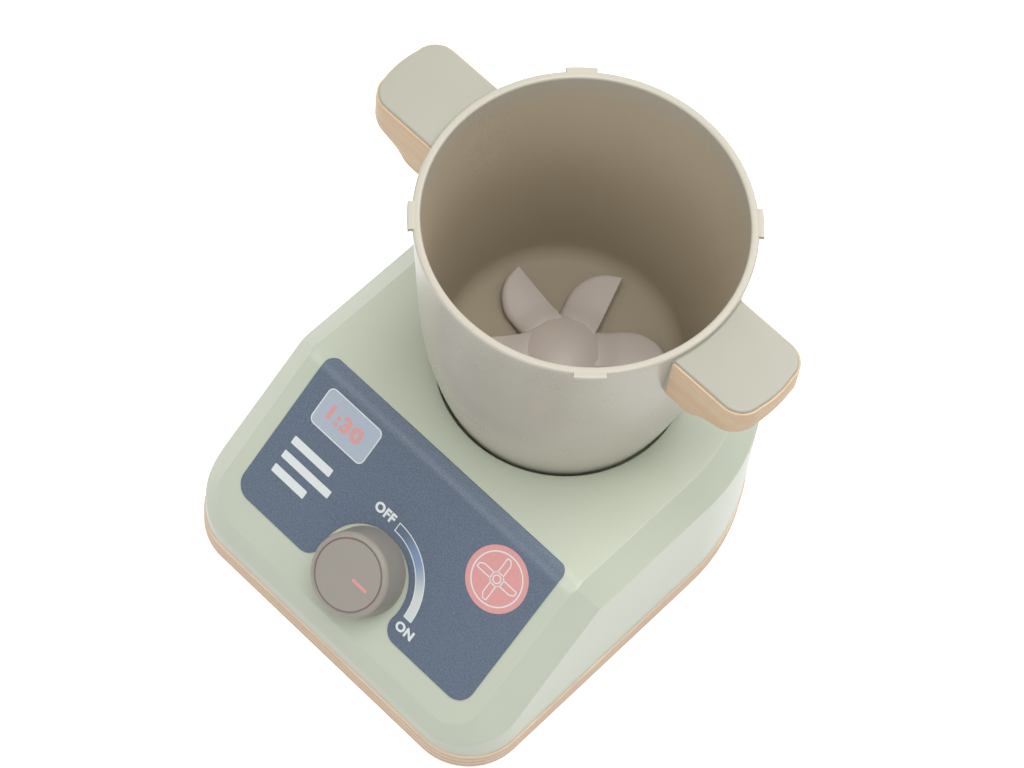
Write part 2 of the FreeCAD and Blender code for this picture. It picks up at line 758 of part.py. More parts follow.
def make_knob():
    """Hollow conical knob with a ring groove and a hub for the switch shaft."""
    side_top = "(knob_height - knob_edge_round)"
    cap = "(knob_height - knob_wall)"
    hub_start = "(switch_bush_reach + knob_gap)"
    groove_in = "(knob_groove_radius - knob_groove_width / 2)"
    groove_out = "(knob_groove_radius + knob_groove_width / 2)"
    groove_z = "(knob_height - knob_groove_depth)"
    profile = [
        ("switch_shaft_radius", hub_start),
        ("knob_hub_radius", hub_start),
        ("knob_hub_radius", cap),
        ("knob_top_radius - knob_wall", cap),
        ("knob_base_radius - knob_wall", "knob_gap"),
        ("knob_base_radius", "knob_gap"),
        ("knob_top_radius", side_top, "knob_edge_round"),
        ("knob_top_radius - knob_edge_round", "knob_height"),
        (groove_out, "knob_height"),
        (groove_out, groove_z),
        (groove_in, groove_z),
        (groove_in, "knob_height"),
        ("0", "knob_height"),
        ("0", "switch_shaft_reach"),
        ("switch_shaft_radius", "switch_shaft_reach"),
    ]
    return publish(tilt_with_slope(turned_part("knob_body", profile)), "knob")


def make_switch():
    """Rotary switch behind the slope, with its threaded bush, tabs, nut and shaft."""
    can = bind(DOC.addObject("Part::Box", "switch_can"), Length="switch_size", Width="switch_size",
               Height="switch_depth", x="-switch_size / 2", y="-switch_size / 2",
               z="-housing_wall - switch_depth")
    neck = cylinder("switch_neck", "switch_bush_radius", "housing_wall + switch_bush_reach",
                    z="-housing_wall")
    tabs = [
        bind(DOC.addObject("Part::Box", f"switch_tab_{side + 1}"), Length="contact_thickness",
             Width="switch_tab_width", Height="switch_tab_length",
             x=f"{side} * switch_tab_offset - contact_thickness / 2", y="-switch_tab_width / 2",
             z="-housing_wall - switch_depth - switch_tab_length")
        for side in (-1, 1)
    ]
    bore = cylinder("switch_bore", "switch_shaft_radius + running_gap",
                    "switch_bush_depth + 2 * switch_bush_reach", z="-switch_bush_depth")
    solid = boolean("Cut", "switch_solid", [boolean("MultiFuse", "switch_block", [can, neck] + tabs), bore])
    placed = tilt_with_slope(DOC.addObject("Part::Compound", "switch_placed"))
    placed.Links = [solid]
    publish(placed, "rotary_switch")
    nut_body = tilt_with_slope(new_body("switch_nut_body"))
    sketch = new_sketch(nut_body, "nut_outline")
    corner = "(switch_nut_flats / 2 / cos(30))"
    draw_loop(sketch, [(f"{corner} * cos({turn})", f"{corner} * sin({turn})") for turn in range(0, 360, 60)])
    draw_circle(sketch, "0", "0", "switch_bush_radius")
    extrude(nut_body, "nut_pad", sketch, "switch_nut_height")
    publish(nut_body, "switch_nut")
    start = "(running_gap - switch_bush_depth)"
    shaft = turned_part("switch_shaft_body", [
        ("0", start), ("switch_shaft_radius", start),
        ("switch_shaft_radius", "switch_shaft_reach"), ("0", "switch_shaft_reach")])
    publish(tilt_with_slope(shaft), "switch_shaft")


# ---------------------------------------------------------------- batteries

def flange_screw_spots():
    """List the four places of the battery box's flange screws."""
    return [
        (f"{side} * ({BOX_HALF_X} + box_flange / 2)", f"{along} * box_screw_spread + {BOX_Y}")
        for side in (-1, 1)
        for along in (-1, 1)
    ]


def make_battery_box():
    """Tray for two cells, open downwards, with a flange that rests on the plate."""
    body = new_body("battery_box_body", y=BOX_Y, z=BOX_BOTTOM)
    outline = draw_loop(new_sketch(body, "box_outline"), rounded_box(BOX_HALF_X, BOX_HALF_Y, "box_wall"))
    extrude(body, "box_block", outline, BOX_HEIGHT)
    rim = draw_loop(
        new_sketch(body, "flange_outline", lift=f"{PLATE_TOP} - {BOX_BOTTOM}"),
        rounded_box(f"({BOX_HALF_X} + box_flange)", f"({BOX_HALF_Y} + box_flange)", "box_flange"),
    )
    extrude(body, "box_flange_pad", rim, "box_flange_height")
    chamber = draw_loop(
        new_sketch(body, "chamber_outline"),
        rounded_box(CHAMBER_HALF_X, f"({BOX_HALF_Y} - box_wall)", "cell_gap"),
    )
    cut_pocket(body, "chamber", chamber, f"{BOX_HEIGHT} - box_wall")
    pilots = new_sketch(body, "post_pilots")
    for side in (-1, 1):
        room = new_sketch(body, f"room_outline_{side + 1}")
        half = "((box_screw_room - box_wall) / 2)"
        draw_loop(room, rounded_box(half, f"({BOX_HALF_Y} - box_wall)", "cell_gap", f"{side} * {ROOM_X}"))
        draw_circle(room, f"{side} * {ROOM_X}", "0", "box_post_radius")
        cut_pocket(body, f"screw_room_{side + 1}", room, f"{BOX_HEIGHT} - box_wall")
        draw_circle(pilots, f"{side} * {ROOM_X}", "0", "screw_radius")
    cut_pocket(body, "post_holes", pilots, "small_screw_length")
    flange_holes = new_sketch(body, "flange_holes")
    for x, y in flange_screw_spots():
        draw_circle(flange_holes, x, f"{y} - {BOX_Y}", "screw_radius")
    cut_pocket(body, "flange_hole_cut", flange_holes)
    flange_heads = new_sketch(body, "flange_heads", lift=f"{PLATE_TOP} - {BOX_BOTTOM} + box_flange_height")
    for x, y in flange_screw_spots():
        draw_circle(flange_heads, x, f"{y} - {BOX_Y}", "screw_head_radius")
    sinks = cut_pocket(body, "flange_sinks", flange_heads, "screw_head_height", upward=False)
    bind(sinks, TaperAngle="-atan((screw_head_radius - screw_radius) / screw_head_height)")
    slots = new_sketch(body, "tab_slots")
    for side in (-1, 1):
        x_inner = f"({CHAMBER_HALF_X} - contact_thickness)"
        middle = f"{side} * {CELL_PITCH} / 2"
        draw_loop(slots, [
            (x_inner, f"{middle} - contact_tab_width / 2"),
            (CHAMBER_HALF_X, f"{middle} - contact_tab_width / 2"),
            (CHAMBER_HALF_X, f"{middle} + contact_tab_width / 2"),
            (x_inner, f"{middle} + contact_tab_width / 2"),
        ])
    body.Tip = cut_pocket(body, "tab_slot_cut", slots)
    return publish(body, "battery_box")


def make_cells():
    """Two round cells side by side, facing opposite ways."""
    body_length = "(cell_length - cell_button_height)"
    cells = []
    for side in (-1, 1):
        cell = turned_part(f"cell_{side + 1}", [
            ("0", "0"), ("cell_radius", "0"), ("cell_radius", body_length),
            ("cell_button_radius", body_length), ("cell_button_radius", "cell_length"),
            ("0", "cell_length")], x=f"{side} * cell_length / 2",
            y=f"{BOX_Y} + {side} * {CELL_PITCH} / 2", z=CELL_Z)
        cell.Placement.Rotation = Rotation(Vector(0, 1, 0), -90 * side)
        cells.append(cell)
    return group("battery_cells", cells)


def make_contacts():
    """Bent end contacts of the cells: one link plate and two with solder tabs."""
    low = f"({CELL_Z} - contact_height / 2)"
    bow = "((box_end_room / 2 - contact_thickness))"
    pieces = []
    for side in (-1, 1):
        plates = []
        for along in (-1, 1):
            middle = f"({BOX_Y} + {along} * {CELL_PITCH} / 2)"
            body = new_body(f"contact_{side + 1}_{along + 1}", y=f"{middle} + contact_width / 2", z=low)
            face = f"({CHAMBER_HALF_X} - contact_thickness)"
            corners = [
                (face, "0"), (CHAMBER_HALF_X, "0"), (CHAMBER_HALF_X, "contact_height"),
                (face, "contact_height"), (f"{face} - {bow}", "contact_height / 2"),
            ]
            extrude(body, f"bow_{side + 1}_{along + 1}",
                    draw_loop(new_sketch(body, f"bow_profile_{side + 1}_{along + 1}", "XZ_Plane"), corners),
                    "contact_width")
            if side < 0:
                body.Placement.Rotation = Rotation(Vector(0, 0, 1), 180)
                bind(body, y=f"{middle} - contact_width / 2")
                plates.append(body)
                continue
            tab = bind(DOC.addObject("Part::Box", f"contact_tab_{along + 1}"), Length="contact_thickness",
                       Width="contact_tab_width", Height=f"{BOX_TOP} + contact_tab_reach - {low}",
                       x=face, y=f"{middle} - contact_tab_width / 2", z=low)
            pieces.append(boolean("MultiFuse", f"contact_live_{along + 1}", [body, tab]))
        if side < 0:
            bridge = bind(DOC.addObject("Part::Box", "contact_bridge"), Length="contact_thickness",
                          Width=CELL_PITCH, Height="contact_tab_width", x=f"-{CHAMBER_HALF_X}",
                          y=f"{BOX_Y} - {CELL_PITCH} / 2", z=f"{CELL_Z} - contact_tab_width / 2")
            pieces.append(boolean("MultiFuse", "contact_link", plates + [bridge]))
    return group("battery_contacts", pieces)


def make_battery_door():
    """Flat door in the plate's opening, held by two screws."""
    body = new_body("battery_door_body", y=BOX_Y, z="foot_height")
    outline = draw_loop(
        new_sketch(body, "door_outline"),
        rounded_box(f"({BOX_HALF_X} - door_gap)", f"({BOX_HALF_Y} - door_gap)", "box_wall"),
    )
    extrude(body, "door_pad", outline, "door_thickness")
    holes = new_sketch(body, "door_holes")
    heads = new_sketch(body, "door_heads")
    for side in (-1, 1):
        draw_circle(holes, f"{side} * {ROOM_X}", "0", "screw_radius")
        draw_circle(heads, f"{side} * {ROOM_X}", "0", "screw_head_radius")
    cut_pocket(body, "door_hole_cut", holes)
    sinks = cut_pocket(body, "door_sinks", heads, "screw_head_height")
    bind(sinks, TaperAngle="-atan((screw_head_radius - screw_radius) / screw_head_height)")
    body.Tip = sinks
    publish(body, "battery_door")
    screws = [
        screw(f"door_screw_{side + 1}", "small_screw_length", f"{side} * {ROOM_X}",
              BOX_Y, "foot_height")
        for side in (-1, 1)
    ]
    return group("battery_door_screws", screws)


def make_flange_screws():
    """Four screws that go down through the battery box's flange into the plate."""
    screws = [
        screw(f"flange_screw_{index}", "flange_screw_length", x, y,
              f"{PLATE_TOP} + box_flange_height", pointing_up=False)
        for index, (x, y) in enumerate(flange_screw_spots())
    ]
    return group("battery_box_screws", screws)


# ---------------------------------------------------------------- gear case and motor

CASE_X = f"({MESH_MOTOR} / 2)"
CASE_Y = f"({POT_Y} + {MESH_OUTPUT} / 2)"
CASE_HALF_X = f"({MESH_MOTOR} / 2 + wheel_teeth * gear_module / 2 + case_margin + case_wall)"
CASE_HALF_Y = f"({MESH_OUTPUT} / 2 + output_teeth * gear_module / 2 + case_margin + case_wall)"
CASE_SCREW_LENGTH = f"({WELL_UNDERSIDE} - {CASE_LOW})"


def case_screw_spots():
    """List the four corner screw places of the gear case."""
    inset = "(case_wall + 0.85 * boss_radius)"
    return [
        (f"{CASE_X} + {side_x} * ({CASE_HALF_X} - {inset})",
         f"{CASE_Y} + {side_y} * ({CASE_HALF_Y} - {inset})")
        for side_x in (-1, 1)
        for side_y in (-1, 1)
    ]


def case_block(name, low, height, inset="0"):
    """Make a prism with the gear case's rounded outline."""
    body = new_body(name, x=CASE_X, y=CASE_Y, z=low)
    corners = rounded_box(f"({CASE_HALF_X} - {inset})", f"({CASE_HALF_Y} - {inset})",
                          f"(case_corner_radius - {inset})")
    extrude(body, name + "_pad", draw_loop(new_sketch(body, name + "_outline"), corners), height)
    return body


def countersinks(name, spots, low, way=1):
    """Make the tapered seats of screw heads at the given places."""
    return [
        turned_part(f"{name}_{index}", [
            ("0", "0"), ("screw_head_radius", "0"), ("screw_radius", "screw_head_height"),
            ("0", "screw_head_height")], x=x, y=y, z=low) if way > 0 else
        turned_part(f"{name}_{index}", [
            ("0", "0"), ("0", "-screw_head_height"), ("screw_radius", "-screw_head_height"),
            ("screw_head_radius", "0")], x=x, y=y, z=low)
        for index, (x, y) in enumerate(spots)
    ]


def motor_screw_spots():
    """List the two places of the motor's screws."""
    return [(MESH_MOTOR, f"{COMPOUND_Y} + {side} * motor_screw_spread") for side in (-1, 1)]


def make_gear_case():
    """Tray under the pot's well with bearings, corner posts and the motor's seat, and its lid."""
    tray = case_block("case_outer", CASE_LOW, f"{CASE_TOP} - {CASE_LOW}")
    posts = [
        cylinder(f"case_corner_{index}", "boss_radius", f"{CASE_TOP} - {CASE_LOW}",
                 x=x, y=y, z=CASE_LOW)
        for index, (x, y) in enumerate(case_screw_spots())
    ]
    boss_height = f"{OUTPUT_Z} - gear_step / 2 - {CASE_INSIDE} + 1"
    posts.append(cylinder("shaft_boss", "shaft_boss_radius", boss_height,
                          y=POT_Y, z=f"{CASE_INSIDE} - 1"))
    posts.append(cylinder("pin_boss", "gear_hub_radius", "gear_step / 2 + 1", y=COMPOUND_Y,
                          z=f"{CASE_INSIDE} - 1"))
    room = case_block("case_inner", CASE_INSIDE, "case_inner_height + 1", "case_wall")
    room = boolean("Cut", "case_room", [room, boolean("MultiFuse", "case_posts", posts)])
    tools = [room]
    tools.append(cylinder("shaft_bearing", "drive_radius + running_gap", "case_inner_height",
                          y=POT_Y, z=f"{CASE_LOW} + case_floor / 3"))
    tools.append(cylinder("pin_seat", "gear_pin_radius", "case_floor + 1", y=COMPOUND_Y,
                          z=CASE_LOW))
    tools.append(cylinder("motor_seat", "motor_nose_radius", "case_floor", x=MESH_MOTOR, y=COMPOUND_Y,
                          z=CASE_LOW))
    for index, (x, y) in enumerate(case_screw_spots()):
        tools.append(cylinder(f"tray_hole_{index}", "screw_radius", "2 * case_inner_height",
                              x=x, y=y, z=CASE_LOW))
    for index, (x, y) in enumerate(motor_screw_spots()):
        tools.append(cylinder(f"motor_hole_{index}", "screw_radius", "case_floor",
                              x=x, y=y, z=CASE_LOW))
    tools += countersinks("tray_sink", case_screw_spots(), CASE_LOW)
    tools += countersinks("motor_sink", motor_screw_spots(), CASE_INSIDE, -1)
    publish(boolean("Cut", "gear_case_solid", [tray, boolean("MultiFuse", "tray_cuts", tools)]), "gear_case")

    lid = case_block("lid_block", CASE_TOP, "case_floor")
    holes = [
        cylinder("lid_bush_hole", "drive_radius + bush_wall", "case_floor", y=POT_Y, z=CASE_TOP),
        cylinder("lid_pin_hole", "gear_pin_radius", "case_floor", y=COMPOUND_Y, z=CASE_TOP),
    ]
    for index, (x, y) in enumerate(case_screw_spots()):
        holes.append(cylinder(f"lid_hole_{index}", "screw_radius", "case_floor", x=x, y=y, z=CASE_TOP))
    lid_cuts = boolean("MultiFuse", "lid_cuts", holes)
    publish(boolean("Cut", "case_lid_solid", [lid, lid_cuts]), "gear_case_lid")

    screws = [
        screw(f"case_screw_{index}", CASE_SCREW_LENGTH, x, y, CASE_LOW)
        for index, (x, y) in enumerate(case_screw_spots())
    ]
    group("gear_case_screws", screws)
    pin = cylinder("pin", "gear_pin_radius", f"{LID_TOP} - {CASE_LOW}", y=COMPOUND_Y,
                   z=CASE_LOW)
    publish(pin, "compound_pin")


def make_motor():
    """Flat-sided motor can with its nose, terminal tabs, shaft bore and two screws."""
    low = f"({CASE_LOW} - {MOTOR_LENGTH})"
    can = cylinder("motor_round", "motor_radius", MOTOR_LENGTH, z=low)
    flats = bind(DOC.addObject("Part::Box", "motor_flats"), Length="motor_flat_width",
                 Width="3 * motor_radius", Height=MOTOR_LENGTH, x="-motor_flat_width / 2",
                 y="-1.5 * motor_radius", z=low)
    blocks = [boolean("Common", "motor_can", [can, flats])]
    blocks.append(cylinder("motor_nose", "motor_nose_radius", f"{MOTOR_LENGTH} + motor_nose_height", z=low))
    for side in (-1, 1):
        blocks.append(bind(
            DOC.addObject("Part::Box", f"motor_tab_{side + 1}"), Length="contact_thickness",
            Width="switch_tab_width", Height="motor_tab_length",
            x=f"{side} * motor_tab_offset - contact_thickness / 2", y="-switch_tab_width / 2",
            z=f"{low} - motor_tab_length"))
    cuts = [cylinder("motor_bore", "motor_shaft_radius + running_gap", f"{MOTOR_LENGTH} + motor_nose_height",
                     z=f"{low} + {MOTOR_LENGTH} / 6")]
    for side in (-1, 1):
        cuts.append(cylinder(f"motor_pilot_{side + 1}", "screw_radius", "motor_screw_length",
                             y=f"{side} * motor_screw_spread",
                             z=f"{CASE_INSIDE} - motor_screw_length"))
    solid = boolean("Cut", "motor_solid", [
        boolean("MultiFuse", "motor_block", blocks), boolean("MultiFuse", "motor_cuts", cuts)])
    placed = bind(DOC.addObject("Part::Compound", "motor_placed"), x=MESH_MOTOR, y=COMPOUND_Y)
    placed.Links = [solid]
    publish(placed, "motor")
    screws = [
        screw(f"motor_screw_{index}", "motor_screw_length", x, y, CASE_INSIDE, False)
        for index, (x, y) in enumerate(motor_screw_spots())
    ]
    group("motor_screws", screws)


# ---------------------------------------------------------------- gears and drive

def involute(radius, teeth):
    """Give the half angle of a tooth gap at a radius, for true involute flanks."""
    pitch = f"({teeth} * gear_module / 2)"
    turn = f"acos({pitch} * cos(pressure_angle) / ({radius}))"
    grown = f"(tan({turn}) - {turn} / (1 rad) - tan(pressure_angle) + pressure_angle * pi / 180)"
    return f"(90 / {teeth} + ({grown} + gear_backlash / 2 / {pitch}) * 180 / pi)"


def gear(name, teeth, bore, width, **place):
    """Make a spur gear from a round blank and one tooth gap repeated round it."""
    body = new_body(name, **place)
    pitch = f"({teeth} * gear_module / 2)"
    tip = f"({pitch} + gear_addendum * gear_module)"
    root = f"({pitch} - gear_dedendum * gear_module)"
    blank = new_sketch(body, name + "_blank")
    draw_circle(blank, "0", "0", tip)
    draw_circle(blank, "0", "0", bore)
    extrude(body, name + "_pad", blank, width)
    low = f"(max({root}; {pitch} * cos(pressure_angle)) + gear_module / 100)"
    flank = [low, pitch, f"({pitch} + gear_addendum * gear_module / 2)", tip,
             f"({tip} + gear_module / 2)"]
    right = [
        (f"{radius} * sin({involute(radius, teeth)})", f"{radius} * cos({involute(radius, teeth)})")
        for radius in flank
    ]
    foot = (f"{root} * sin({involute(low, teeth)})", f"{root} * cos({involute(low, teeth)})")
    outline = [foot] + right + [(f"-{x}", y) for x, y in reversed(right)] + [(f"-{foot[0]}", foot[1])]
    gap = cut_pocket(body, name + "_gap", draw_loop(new_sketch(body, name + "_gap_outline"), outline))
    pattern = body.newObject("PartDesign::PolarPattern", name + "_teeth")
    pattern.Originals = [gap]
    pattern.Axis = (origin_plane(body, "Z_Axis"), [""])
    pattern.Angle = 360
    bind(pattern, Occurrences=teeth)
    body.Tip = pattern
    return body


def turn_about_z(thing, angle):
    """Turn a thing about its own upright axis by an angle that follows the sheet."""
    thing.Placement.Rotation = Rotation(Vector(0, 0, 1), size(angle))
    thing.setExpression("Placement.Rotation.Angle", formula(f"({angle}) * 1 deg"))
    return thing


def make_gears():
    """Motor pinion, compound gear and output gear, in mesh with their teeth interleaved."""
    pinion = gear("pinion_gear", "pinion_teeth", "motor_shaft_radius", "gear_width",
                  x=MESH_MOTOR, y=COMPOUND_Y, z=WHEEL_Z)
    turn_about_z(pinion, "360 * 2 + 90 - (90 * wheel_teeth + 180) / pinion_teeth")
    publish(pinion, "motor_pinion")
    bore = "gear_pin_radius + running_gap"
    wheel = gear("wheel_gear", "wheel_teeth", bore, "gear_width", y=COMPOUND_Y, z=WHEEL_Z)
    small = gear("small_gear", "small_teeth", bore, "gear_width + gear_step", y=COMPOUND_Y, z=SMALL_Z)
    turn_about_z(small, "180 - 180 / small_teeth")
    top = f"({OUTPUT_Z} + gear_width)"
    hub = turned_part("compound_hub", [
        (bore, top), ("gear_hub_radius", top), ("gear_hub_radius", f"{CASE_TOP} - gear_step / 2"),
        (bore, f"{CASE_TOP} - gear_step / 2")], y=COMPOUND_Y)
    publish(boolean("MultiFuse", "compound_solid", [wheel, small, hub]), "compound_gear")
    output = gear("output_wheel", "output_teeth", "drive_radius", "gear_width", y=POT_Y, z=OUTPUT_Z)
    publish(output, "output_gear")
    shaft_low = f"{CASE_LOW} - 0.8 * {MOTOR_LENGTH}"
    shaft = cylinder("motor_shaft_rod", "motor_shaft_radius", f"{WHEEL_Z} + gear_width - ({shaft_low})",
                     x=MESH_MOTOR, y=COMPOUND_Y, z=shaft_low)
    publish(shaft, "motor_shaft")


def coupling(name, bore, plate_z, dogs_z, first_turn, **place):
    """Make a coupling plate with dogs that leave room for those of its partner."""
    body = new_body(name, **place)
    plate = new_sketch(body, name + "_plate_outline", lift=plate_z)
    draw_circle(plate, "0", "0", "coupling_radius")
    draw_circle(plate, "0", "0", bore)
    extrude(body, name + "_plate", plate, "coupling_plate")
    for index in range(int(size("dog_count"))):
        middle = f"({first_turn} + {index} * 360 / dog_count)"
        low = f"({middle} - dog_angle / 2)"
        high = f"({middle} + dog_angle / 2)"
        outline = new_sketch(body, f"{name}_dog_outline_{index}", lift=dogs_z)
        draw_loop(outline, [
            (f"dog_inner_radius * cos({low})", f"dog_inner_radius * sin({low})"),
            (f"coupling_radius * cos({low})", f"coupling_radius * sin({low})", "coupling_radius"),
            (f"coupling_radius * cos({high})", f"coupling_radius * sin({high})"),
            (f"dog_inner_radius * cos({high})", f"dog_inner_radius * sin({high})", "-dog_inner_radius"),
        ])
        extrude(body, f"{name}_dog_{index}", outline, "dog_height")
    return body


def make_drive():
    """Drive shaft with its bush, clip and coupling under the pot."""
    start = f"({CASE_LOW} + case_floor / 3 + running_gap)"
    shaft = cylinder("drive_rod", "drive_radius", f"{DRIVE_PLATE_Z} + coupling_plate - {start}",
                     y=POT_Y, z=start)
    publish(shaft, "drive_shaft")
    outer = "(drive_radius + bush_wall)"
    inner = "(drive_radius + running_gap)"
    low = f"({WELL_UNDERSIDE} - bush_flange_height)"
    bush = turned_part("drive_bush_body", [
        (inner, CASE_TOP), (outer, CASE_TOP), (outer, low), (f"{outer} + bush_flange", low),
        (f"{outer} + bush_flange", WELL_UNDERSIDE), (outer, WELL_UNDERSIDE),
        (outer, f"{RECESS_FLOOR} + bush_stand"), (inner, f"{RECESS_FLOOR} + bush_stand")], y=POT_Y)
    publish(bush, "drive_bush")
    clip_z = f"({CASE_TOP} - coupling_gap - clip_thickness)"
    clip = turned_part("drive_clip_body", [
        ("drive_radius", clip_z), ("clip_radius", clip_z),
        ("clip_radius", f"{clip_z} + clip_thickness"), ("drive_radius", f"{clip_z} + clip_thickness")],
        y=POT_Y)
    publish(clip, "drive_clip")
    lower = coupling("drive_coupling_body", "drive_radius", DRIVE_PLATE_Z,
                     f"{DRIVE_PLATE_Z} + coupling_plate", "0", y=POT_Y)
    publish(lower, "drive_coupling")


# ---------------------------------------------------------------- pot

INNER_BEND = "(pot_bend_radius - pot_wall)"
POT_INSIDE = "(pot_foot_height + pot_floor)"


def tongue_outline(sketch, grow="0"):
    """Draw the outline of a handle's top, wider all round by a margin."""
    half = f"(tongue_half_width + {grow})"
    corner = f"(tongue_corner + {grow})"
    chord = f"({half} - {corner})"
    end = f"({TONGUE_REACH} - tongue_bow + {grow})"
    bow = f"(({chord}^2 + tongue_bow^2) / (2 * tongue_bow))"
    return draw_loop(sketch, [
        ("pot_rim_radius - 2 * pot_wall", f"-{half}"),
        (f"{end} - {corner}", f"-{half}", corner),
        (end, f"-{chord}", bow),
        (end, chord, corner),
        (f"{end} - {corner}", half),
        ("pot_rim_radius - 2 * pot_wall", half),
    ])


def handle_prism(name, low, height, side, grow="0"):
    """Make a prism with a handle's outline on one side of the pot."""
    body = new_body(name, y=POT_Y, z=low)
    extrude(body, name + "_pad", tongue_outline(new_sketch(body, name + "_outline"), grow), height)
    if side < 0:
        turn_about_z(body, "180")
    return body


def grip_screw_spots(side):
    """List a handle's screw places as X and Y expressions."""
    return [
        (f"{side} * (pot_rim_radius + {reach})", POT_Y) for reach in ("grip_screw_near", "grip_screw_far")
    ]


def pot_outer_profile():
    """List the corners of the pot's closed outer profile."""
    return [
        ("0", "0"), (FOOT_RADIUS, "0", "pot_heel_radius"),
        (HEEL_X, "pot_heel_height", "pot_bend_radius"), (BEND_X, "pot_bend_height"),
        ("pot_rim_radius", "pot_height"), ("0", "pot_height"),
    ]


def pot_inner_profile():
    """List the corners of the pot's inside, with the spindle boss left standing."""
    centre_z = f"({POT_INSIDE} + pot_floor_corner)"
    reach = f"({INNER_BEND} - pot_floor_corner)"
    drop = f"({BEND_CENTRE_Z} - {centre_z})"
    centre_x = f"({BEND_CENTRE_X} + sqrt({reach}^2 - {drop}^2))"
    wall_x = f"({BEND_CENTRE_X} + ({centre_x} - {BEND_CENTRE_X}) * {INNER_BEND} / {reach})"
    wall_z = f"({BEND_CENTRE_Z} - {drop} * {INNER_BEND} / {reach})"
    bend_x = f"({BEND_CENTRE_X} + {INNER_BEND} * cos(pot_taper))"
    bend_z = f"({BEND_CENTRE_Z} - {INNER_BEND} * sin(pot_taper))"
    top = "(pot_height + pot_wall)"
    boss_top = f"({POT_INSIDE} + spindle_boss_height)"
    return [
        ("0", boss_top), ("spindle_boss_radius", boss_top), ("spindle_boss_radius", POT_INSIDE),
        (centre_x, POT_INSIDE, "pot_floor_corner"), (wall_x, wall_z, INNER_BEND), (bend_x, bend_z),
        (f"{bend_x} + ({top} - {bend_z}) * tan(pot_taper)", top), ("0", top),
    ]


def make_pot():
    """One-piece pot with handle tongues, rim lugs, foot ring and spindle boss."""
    solids = [turned_part("pot_outer", pot_outer_profile(), y=POT_Y, z=POT_Z)]
    boss_low = f"({RIM_Z} - tongue_drop - grip_depth - handle_boss_margin)"
    boss_height = f"({RIM_Z} - tongue_drop - {boss_low})"
    round_boss = cylinder("boss_round", BOSS_RADIUS, boss_height, y=POT_Y, z=boss_low)
    across = bind(DOC.addObject("Part::Box", "boss_across"), Length="4 * pot_rim_radius",
                  Width="2 * handle_boss_half_width", Height=boss_height, x="-2 * pot_rim_radius",
                  y=f"{POT_Y} - handle_boss_half_width", z=boss_low)
    solids.append(boolean("Common", "handle_bosses", [round_boss, across]))
    for side in (-1, 1):
        solids.append(handle_prism(f"tongue_{side + 1}", TONGUE_Z, "tongue_thickness", side))
        for index, (x, y) in enumerate(grip_screw_spots(side)):
            solids.append(cylinder(f"tongue_post_{side + 1}_{index}", "tongue_post_radius",
                                   "tongue_post_length + tongue_thickness / 2", x=x, y=y,
                                   z=f"{TONGUE_Z} - tongue_post_length"))
    for quarter in range(4):
        lug = bind(DOC.addObject("Part::Box", f"rim_lug_{quarter}"), Length="pot_rim_radius / 2",
                   Width="lug_width", Height="lug_height",
                   x=f"(pot_rim_radius + lug_reach - pot_rim_radius / 2) * cos({45 + 90 * quarter})"
                     f" + lug_width / 2 * sin({45 + 90 * quarter})",
                   y=f"{POT_Y} + (pot_rim_radius + lug_reach - pot_rim_radius / 2)"
                     f" * sin({45 + 90 * quarter}) - lug_width / 2 * cos({45 + 90 * quarter})",
                   z=f"{RIM_Z} - lug_height")
        lug.Placement.Rotation = Rotation(Vector(0, 0, 1), 45 + 90 * quarter)
        solids.append(lug)
    cuts = [turned_part("pot_inner", pot_inner_profile(), y=POT_Y, z=POT_Z)]
    cuts.append(cylinder("foot_hollow", f"{FOOT_RADIUS} - pot_foot_wall", "pot_foot_height + 1",
                         y=POT_Y, z=f"{POT_Z} - 1"))
    cuts.append(cylinder("spindle_hole", "spindle_radius + bush_wall", "pot_height / 2", y=POT_Y, z=POT_Z))
    for side in (-1, 1):
        for index, (x, y) in enumerate(grip_screw_spots(side)):
            cuts.append(cylinder(f"post_pilot_{side + 1}_{index}", "screw_radius", "grip_screw_length",
                                 x=x, y=y, z=GRIP_SEAT_Z))
    pot = boolean("Cut", "pot_solid", [
        boolean("MultiFuse", "pot_added", solids), boolean("MultiFuse", "pot_removed", cuts)])
    return publish(pot, "pot_shell")


def grip_side_profile(sketch):
    """Draw a handle's side view: deep at the pot, rising to a thin rounded tip."""
    belly_x = "(pot_rim_radius + grip_deep_length + grip_belly_radius * sin(grip_rise_angle))"
    belly_z = "(grip_belly_radius * (1 - cos(grip_rise_angle)))"
    hollow_x = f"({belly_x} + grip_hollow_radius * (sin(grip_rise_angle) - sin(grip_tail_angle)))"
    hollow_z = f"({belly_z} + grip_hollow_radius * (cos(grip_tail_angle) - cos(grip_rise_angle)))"
    tip_x = f"({TONGUE_REACH} + grip_lip)"
    corner_z = f"({hollow_z} + ({tip_x} - {hollow_x}) * tan(grip_tail_angle))"
    run = "(grip_tip_round * tan((90 - grip_tail_angle) / 2))"
    top = "(grip_depth - grip_lip_drop)"
    return draw_loop(sketch, [
        ("pot_rim_radius - 2 * pot_wall", "0"),
        ("pot_rim_radius + grip_deep_length", "0", "grip_belly_radius"),
        (belly_x, belly_z, "-grip_hollow_radius"),
        (hollow_x, hollow_z),
        (f"{tip_x} - {run} * cos(grip_tail_angle)", f"{corner_z} - {run} * sin(grip_tail_angle)",
         "grip_tip_round"),
        (tip_x, f"{corner_z} + {run}"),
        (tip_x, top),
        ("pot_rim_radius - 2 * pot_wall", top),
    ])


